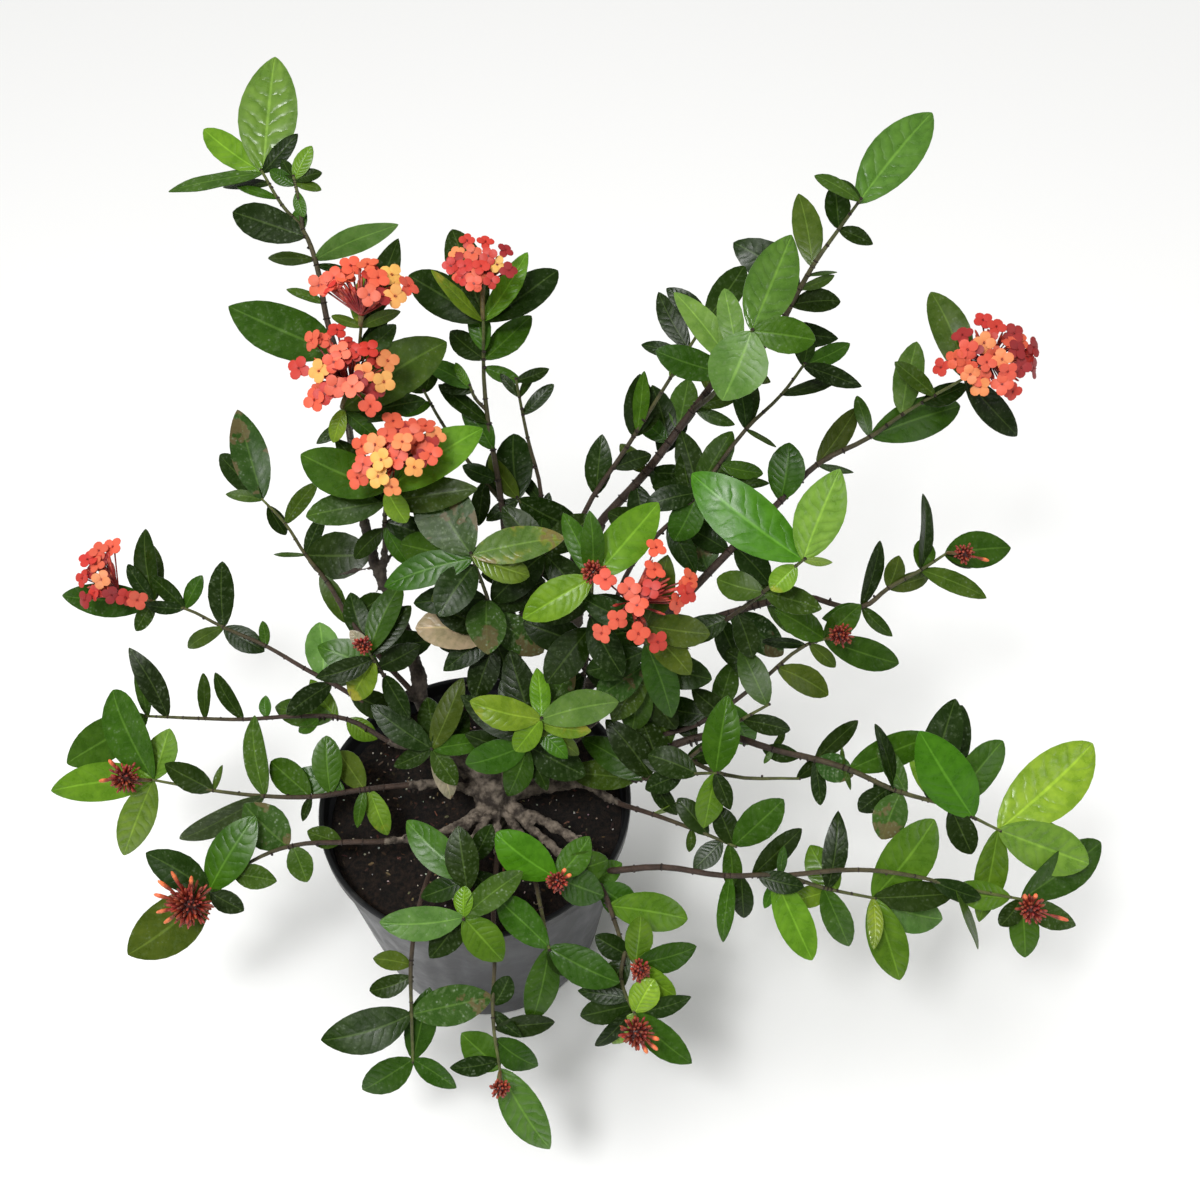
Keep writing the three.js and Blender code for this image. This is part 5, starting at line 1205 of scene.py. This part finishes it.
for name, head in flowers.items():
    dice = random.Random("flower " + name)
    start = stalkStart(head["shoot"], head["stem"])
    centre = start + inPlane(head["foot"], floretHabit["stalkHeight"])
    stalk = makeStalk(start, centre, floretHabit["stalk"], floretHabit["stalkColor"])
    florets, buds, reaches = [], [], []
    for i, ((x, y), tone) in enumerate(zip(head["florets"], head["tones"])):
        height = math.sqrt(max(head["dome"] ** 2 - x * x - y * y, 16))
        rise = height + floretHabit["stagger"] * (i % 3 - 1)
        reaches.append(inPlane((x + head["tip"][0] * rise, y + head["tip"][1] * rise), rise))
        size = dice.uniform(0.92, 1.06) * head.get("share", 1)
        florets.append(makeFloret(centre, reaches[-1], i * 0.7, size, tone, dice))
    for i in range(head["lower"] + floretHabit["fillers"]):  # a lower layer, then closed buds and spent tubes
        first = dice.choice(reaches)
        second = sorted(reaches, key=lambda reach: (reach - first).length)[dice.randrange(1, 4)]
        reach = first.lerp(second, dice.uniform(0.3, 0.7))
        if i < head["lower"]:
            reach = reach * dice.uniform(0.84, 0.97)
            turn, size = dice.uniform(0, 1.5), dice.uniform(0.8, 1)
            florets.append(makeFloret(centre, reach, turn, size, dice.choice("crrd"), dice))
        else:
            wide, long = dice.uniform(0.8, 1.3), reach.length * dice.uniform(0.55, 0.94)
            stand = frameOf(centre, reach.normalized(), i, wide, long)
            tint = varied(floretHabit["tubeColor"], dice, 0.25)
            buds.append(placed(budModel, stand, tint, varied(floretHabit["budTip"], dice, 0.2)))
    tube = tubes("tubes", [run for floret, run in florets], 6, 3)
    dress(tube, tubeSkin)
    paint(tube, "tint", floretHabit["tubeColor"])
    whole = joined("bloom_" + name, [stalk] + [floret for floret, run in florets] + buds + [tube])
    hand(whole, "flower_" + name)
print("flower heads ready")

# Heads of closed buds: the stem and the foot as above, the ball's radius, how many short buds it has, and
# the clock angle and length of each long one
budHeads = {
    "low_left_front": {
        "shoot": "left_front_low", "stem": 0, "foot": (-7, -5), "radius": 16, "buds": 112,
        "long": [(112, 30), (136, 30), (158, 27), (82, 24), (215, 22), (190, 24)]},
    "low_left": {
        "shoot": "left_low", "stem": 0, "foot": (-15, 3), "radius": 12, "buds": 63,
        "long": [(185, 19), (125, 19)]},
    "near_low_side": {
        "shoot": "near_side", "stem": 1, "foot": (0, -7), "radius": 11, "buds": 57,
        "long": [(-35, 19), (-12, 17), (-60, 16)]},
    "near_side": {"shoot": "near_side", "stem": 0, "foot": (2, 0), "radius": 8, "buds": 45, "long": []},
    "near_right": {
        "shoot": "near_right", "stem": 1, "foot": (0, 0), "radius": 8, "buds": 39,
        "long": [(60, 12), (30, 12)]},
    "near_low": {"shoot": "near_low", "stem": 0, "foot": (1, -8), "radius": 7, "buds": 36, "long": []},
    "far_right_low": {
        "shoot": "far_right_low", "stem": 0, "foot": (8, 3), "radius": 9, "buds": 45, "long": []},
    "far_right": {
        "shoot": "far_right", "stem": 0, "foot": (10, -1), "radius": 8, "buds": 36, "long": [(-18, 19)]},
    "low_right": {
        "shoot": "low_right", "stem": 1, "foot": (1, -4), "radius": 10, "buds": 54,
        "long": [(118, 14), (78, 13), (-14, 26)]},
    "middle": {"shoot": "middle", "stem": 0, "foot": (1, 3), "radius": 8, "buds": 51, "long": [(-30, 15)]},
    "left_inner": {"shoot": "left_inner", "stem": 0, "foot": (-2, 4), "radius": 7, "buds": 33, "long": []},
}
budLook = {
    "core": 0.5, "wide": 0.95, "longWide": 1.6, "longLean": 20, "stray": 0.12, "darkShare": 0.6,
    "dark": shade(98, 28, 22), "pale": shade(132, 50, 36), "tip": shade(144, 60, 44),
    "longTip": shade(232, 120, 74), "coreColor": shade(60, 20, 16),
    "stalk": [1.3, 1.4, 1.5], "stalkColor": shade(96, 76, 44), "seat": 0.55,  # the ball's seat over its foot
    "spread": 1.25, "turn": 2.39996,  # how far down the ball they reach, and the turn from bud to bud
}


def makeCore(centre, radius):
    pickNone()
    bpy.ops.mesh.primitive_ico_sphere_add(subdivisions=2, radius=radius * mm, location=centre * mm)
    bpy.ops.object.transform_apply(location=True)
    core = bpy.context.object
    core.data.materials.append(tubeSkin)
    paint(core, "tint", budLook["coreColor"])
    return core


for name, head in budHeads.items():
    dice = random.Random("buds " + name)
    start = stalkStart(head["shoot"], head["stem"])
    centre = start + inPlane(head["foot"], head["radius"] * budLook["seat"] + 4)
    stalk = makeStalk(start, centre, budLook["stalk"], budLook["stalkColor"])
    parts = [stalk, makeCore(centre, head["radius"] * budLook["core"])]
    for i in range(head["buds"]):  # evenly round the lit side of the ball
        rise = 1 - budLook["spread"] * (i + 0.5) / head["buds"]
        turn = i * budLook["turn"]
        flat = math.sqrt(1 - rise * rise)
        way = inPlane((flat * math.cos(turn), flat * math.sin(turn)), rise)
        way = swayed(way, dice, budLook["stray"])
        wide = budLook["wide"] * dice.uniform(0.85, 1.2)
        stand = frameOf(centre, way, turn, wide, head["radius"] * dice.uniform(0.72, 1.2))
        color = budLook["dark"] if dice.random() < budLook["darkShare"] else budLook["pale"]
        tint = varied(color, dice, 0.25)
        parts.append(placed(budModel, stand, tint, varied(budLook["tip"], dice, 0.3)))
    for clock, reach in head["long"]:
        stand = frameOf(centre, direction(clock, budLook["longLean"]), clock, budLook["longWide"], reach)
        tint = varied(budLook["pale"], dice, 0.2)
        parts.append(placed(budModel, stand, tint, varied(budLook["longTip"], dice, 0.1)))
    hand(joined("budHead_" + name, parts), "buds_" + name)
print("bud heads ready")

# The pot, in mm: its outline is spun round, then pressed a little out of round, with fine flutes
pot = {"rim": 125, "height": 190, "base": 98, "wall": 2.4, "floor": 3, "band": 13, "lip": 2, "foot": 2,
       "steps": 180, "flutes": 36, "fluteDepth": 0.45, "press": 1.1}


def wallRadius(z):
    return pot["base"] + (pot["rim"] - pot["lip"] - pot["base"]) * z / pot["height"]


top = pot["height"]
under = top - pot["band"]
rim, base = pot["rim"], pot["base"]
inner = rim - pot["lip"] - pot["wall"]
profile = [(0, pot["foot"]), (base - 16, pot["foot"]), (base - 12, 0), (base - 3, 0), (base - 0.8, 0.9),
           (base, 3)]
profile += [(wallRadius(z), z) for z in (24, 50, 80, 110, 140, 162, under - 2, under)]
profile += [(rim - 1.2, under + 0.6), (rim - 0.5, under + 1.8), (rim - 0.3, top - 3), (rim, top - 1.4),
            (rim - 0.7, top - 0.3), (rim - 2.2, top), (inner + 0.8, top - 0.4), (inner, top - 1.5)]
profile += [(wallRadius(z) - pot["wall"], z) for z in (165, 120, 60, pot["floor"])] + [(0, pot["floor"])]
shell = spun("nurseryPot", profile, pot["steps"])
places = pointsOf(shell)
turn = np.arctan2(places[:, 1], places[:, 0])
radius = np.hypot(places[:, 0], places[:, 1])
height = places[:, 2] / mm
lift = np.clip((height - 6) / 30, 0, 1) * np.clip((under - 4 - height) / 20, 0, 1)  # none at foot and band
press = pot["fluteDepth"] * np.cos(turn * pot["flutes"])
press = press + pot["press"] * np.sin(turn * 3 + 0.7) * np.sin(turn * 5)
grow = 1 + press * mm * lift / np.maximum(radius, 0.05)
places[:, 0] *= grow
places[:, 1] *= grow
movePoints(shell, places)
dress(shell, potPlastic)
hand(shell, "pot")
print("pot ready")

# The soil in mm: a lumpy dome down to the pot's floor, with white perlite and brown chips on it
soilLook = {"top": 172, "dome": 4, "cells": 130, "lumps": 1.6, "perlite": 190, "chips": 300, "seed": 11,
            "white": shade(170, 162, 150), "brown": shade(56, 40, 30), "tan": shade(100, 80, 62),
            "clear": ((19, -7), 22), "edge": 4}  # crumbs stay clear of the trunk and of the pot's wall
edge = wallRadius(soilLook["top"] - soilLook["dome"]) - pot["wall"] - gap
foot = wallRadius(pot["floor"]) - pot["wall"] - gap


def soilHeight(x, y):
    share = min(math.hypot(x, y) / edge, 1)
    rise = soilLook["top"] - soilLook["dome"] * share ** 2
    spot = Vector((x, y, 0))
    return rise + soilLook["lumps"] * (noise.fractal(spot / 9, 0.7, 2.1, 4) - 0.3) * (1 - share ** 12)


pickNone()
bpy.ops.mesh.primitive_grid_add(x_subdivisions=soilLook["cells"], y_subdivisions=soilLook["cells"], size=2)
ground = bpy.context.object
ground.name = "pottingSoil"
bpy.ops.object.mode_set(mode="EDIT")
bpy.ops.mesh.select_mode(type="VERT")
bpy.ops.mesh.select_all(action="SELECT")
bpy.ops.mesh.region_to_loop()
bpy.ops.mesh.extrude_edges_move(TRANSFORM_OT_translate={"value": (0, 0, -1)})
bpy.ops.mesh.edge_face_add()
bpy.ops.mesh.select_all(action="SELECT")
bpy.ops.mesh.normals_make_consistent(inside=False)
bpy.ops.object.mode_set(mode="OBJECT")
rounded = []
for x, y, z in pointsOf(ground):  # the square grid becomes a disc
    bottom = z < -0.5
    size = foot if bottom else edge
    u, v = x * math.sqrt(1 - y * y / 2) * size, y * math.sqrt(1 - x * x / 2) * size
    rounded.append((u, v, pot["floor"] + gap if bottom else soilHeight(u, v)))
movePoints(ground, np.array(rounded) * mm)
smooth(60)
ground.data.materials.append(soilMix)
paint(ground, "tint", (1, 1, 1, 1))
pickNone()
bpy.ops.mesh.primitive_ico_sphere_add(subdivisions=1, radius=1)
crumb = bpy.context.object
crumb.name = "crumb"
crumb.data.materials.append(crumbSkin)
dice = random.Random(soilLook["seed"])
for point in crumb.data.vertices:
    point.co *= dice.uniform(0.75, 1.15)
parts = []
(trunkX, trunkY), clear = soilLook["clear"]
for i in range(soilLook["perlite"] + soilLook["chips"]):
    far, turn = (edge - soilLook["edge"]) * math.sqrt(dice.random()), dice.uniform(0, math.tau)
    x, y = far * math.cos(turn), far * math.sin(turn)
    if math.hypot(x - trunkX, y - trunkY) < clear:
        continue
    if i < soilLook["perlite"]:
        size = (dice.uniform(0.4, 1.2), dice.uniform(0.4, 1.1), dice.uniform(0.4, 0.9))
        tint = varied(soilLook["white"], dice, 0.2)
    else:
        size = (dice.uniform(1.2, 3.6), dice.uniform(0.5, 1.3), dice.uniform(0.4, 0.9))
        tint = varied(soilLook["brown"] if dice.random() < 0.7 else soilLook["tan"], dice, 0.3)
    spin, tilt = dice.uniform(0, math.tau), dice.uniform(-0.3, 0.3)
    stand = Matrix.Rotation(spin, 4, "Z") @ Matrix.Rotation(tilt, 4, "Y")
    spot = Matrix.Translation((x, y, soilHeight(x, y) + 0.3 * size[2]))
    parts.append(placed(crumb, Matrix.Scale(mm, 4) @ spot @ stand @ Matrix.Diagonal((*size, 1)), tint))
crumbs = joined("soilCrumbs", parts)
hand(ground, "soil")
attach(crumbs, "root")
for model in (smallModel, largeModel, floretModel, budModel, crumb):
    bpy.data.objects.remove(model)
print("soil ready")
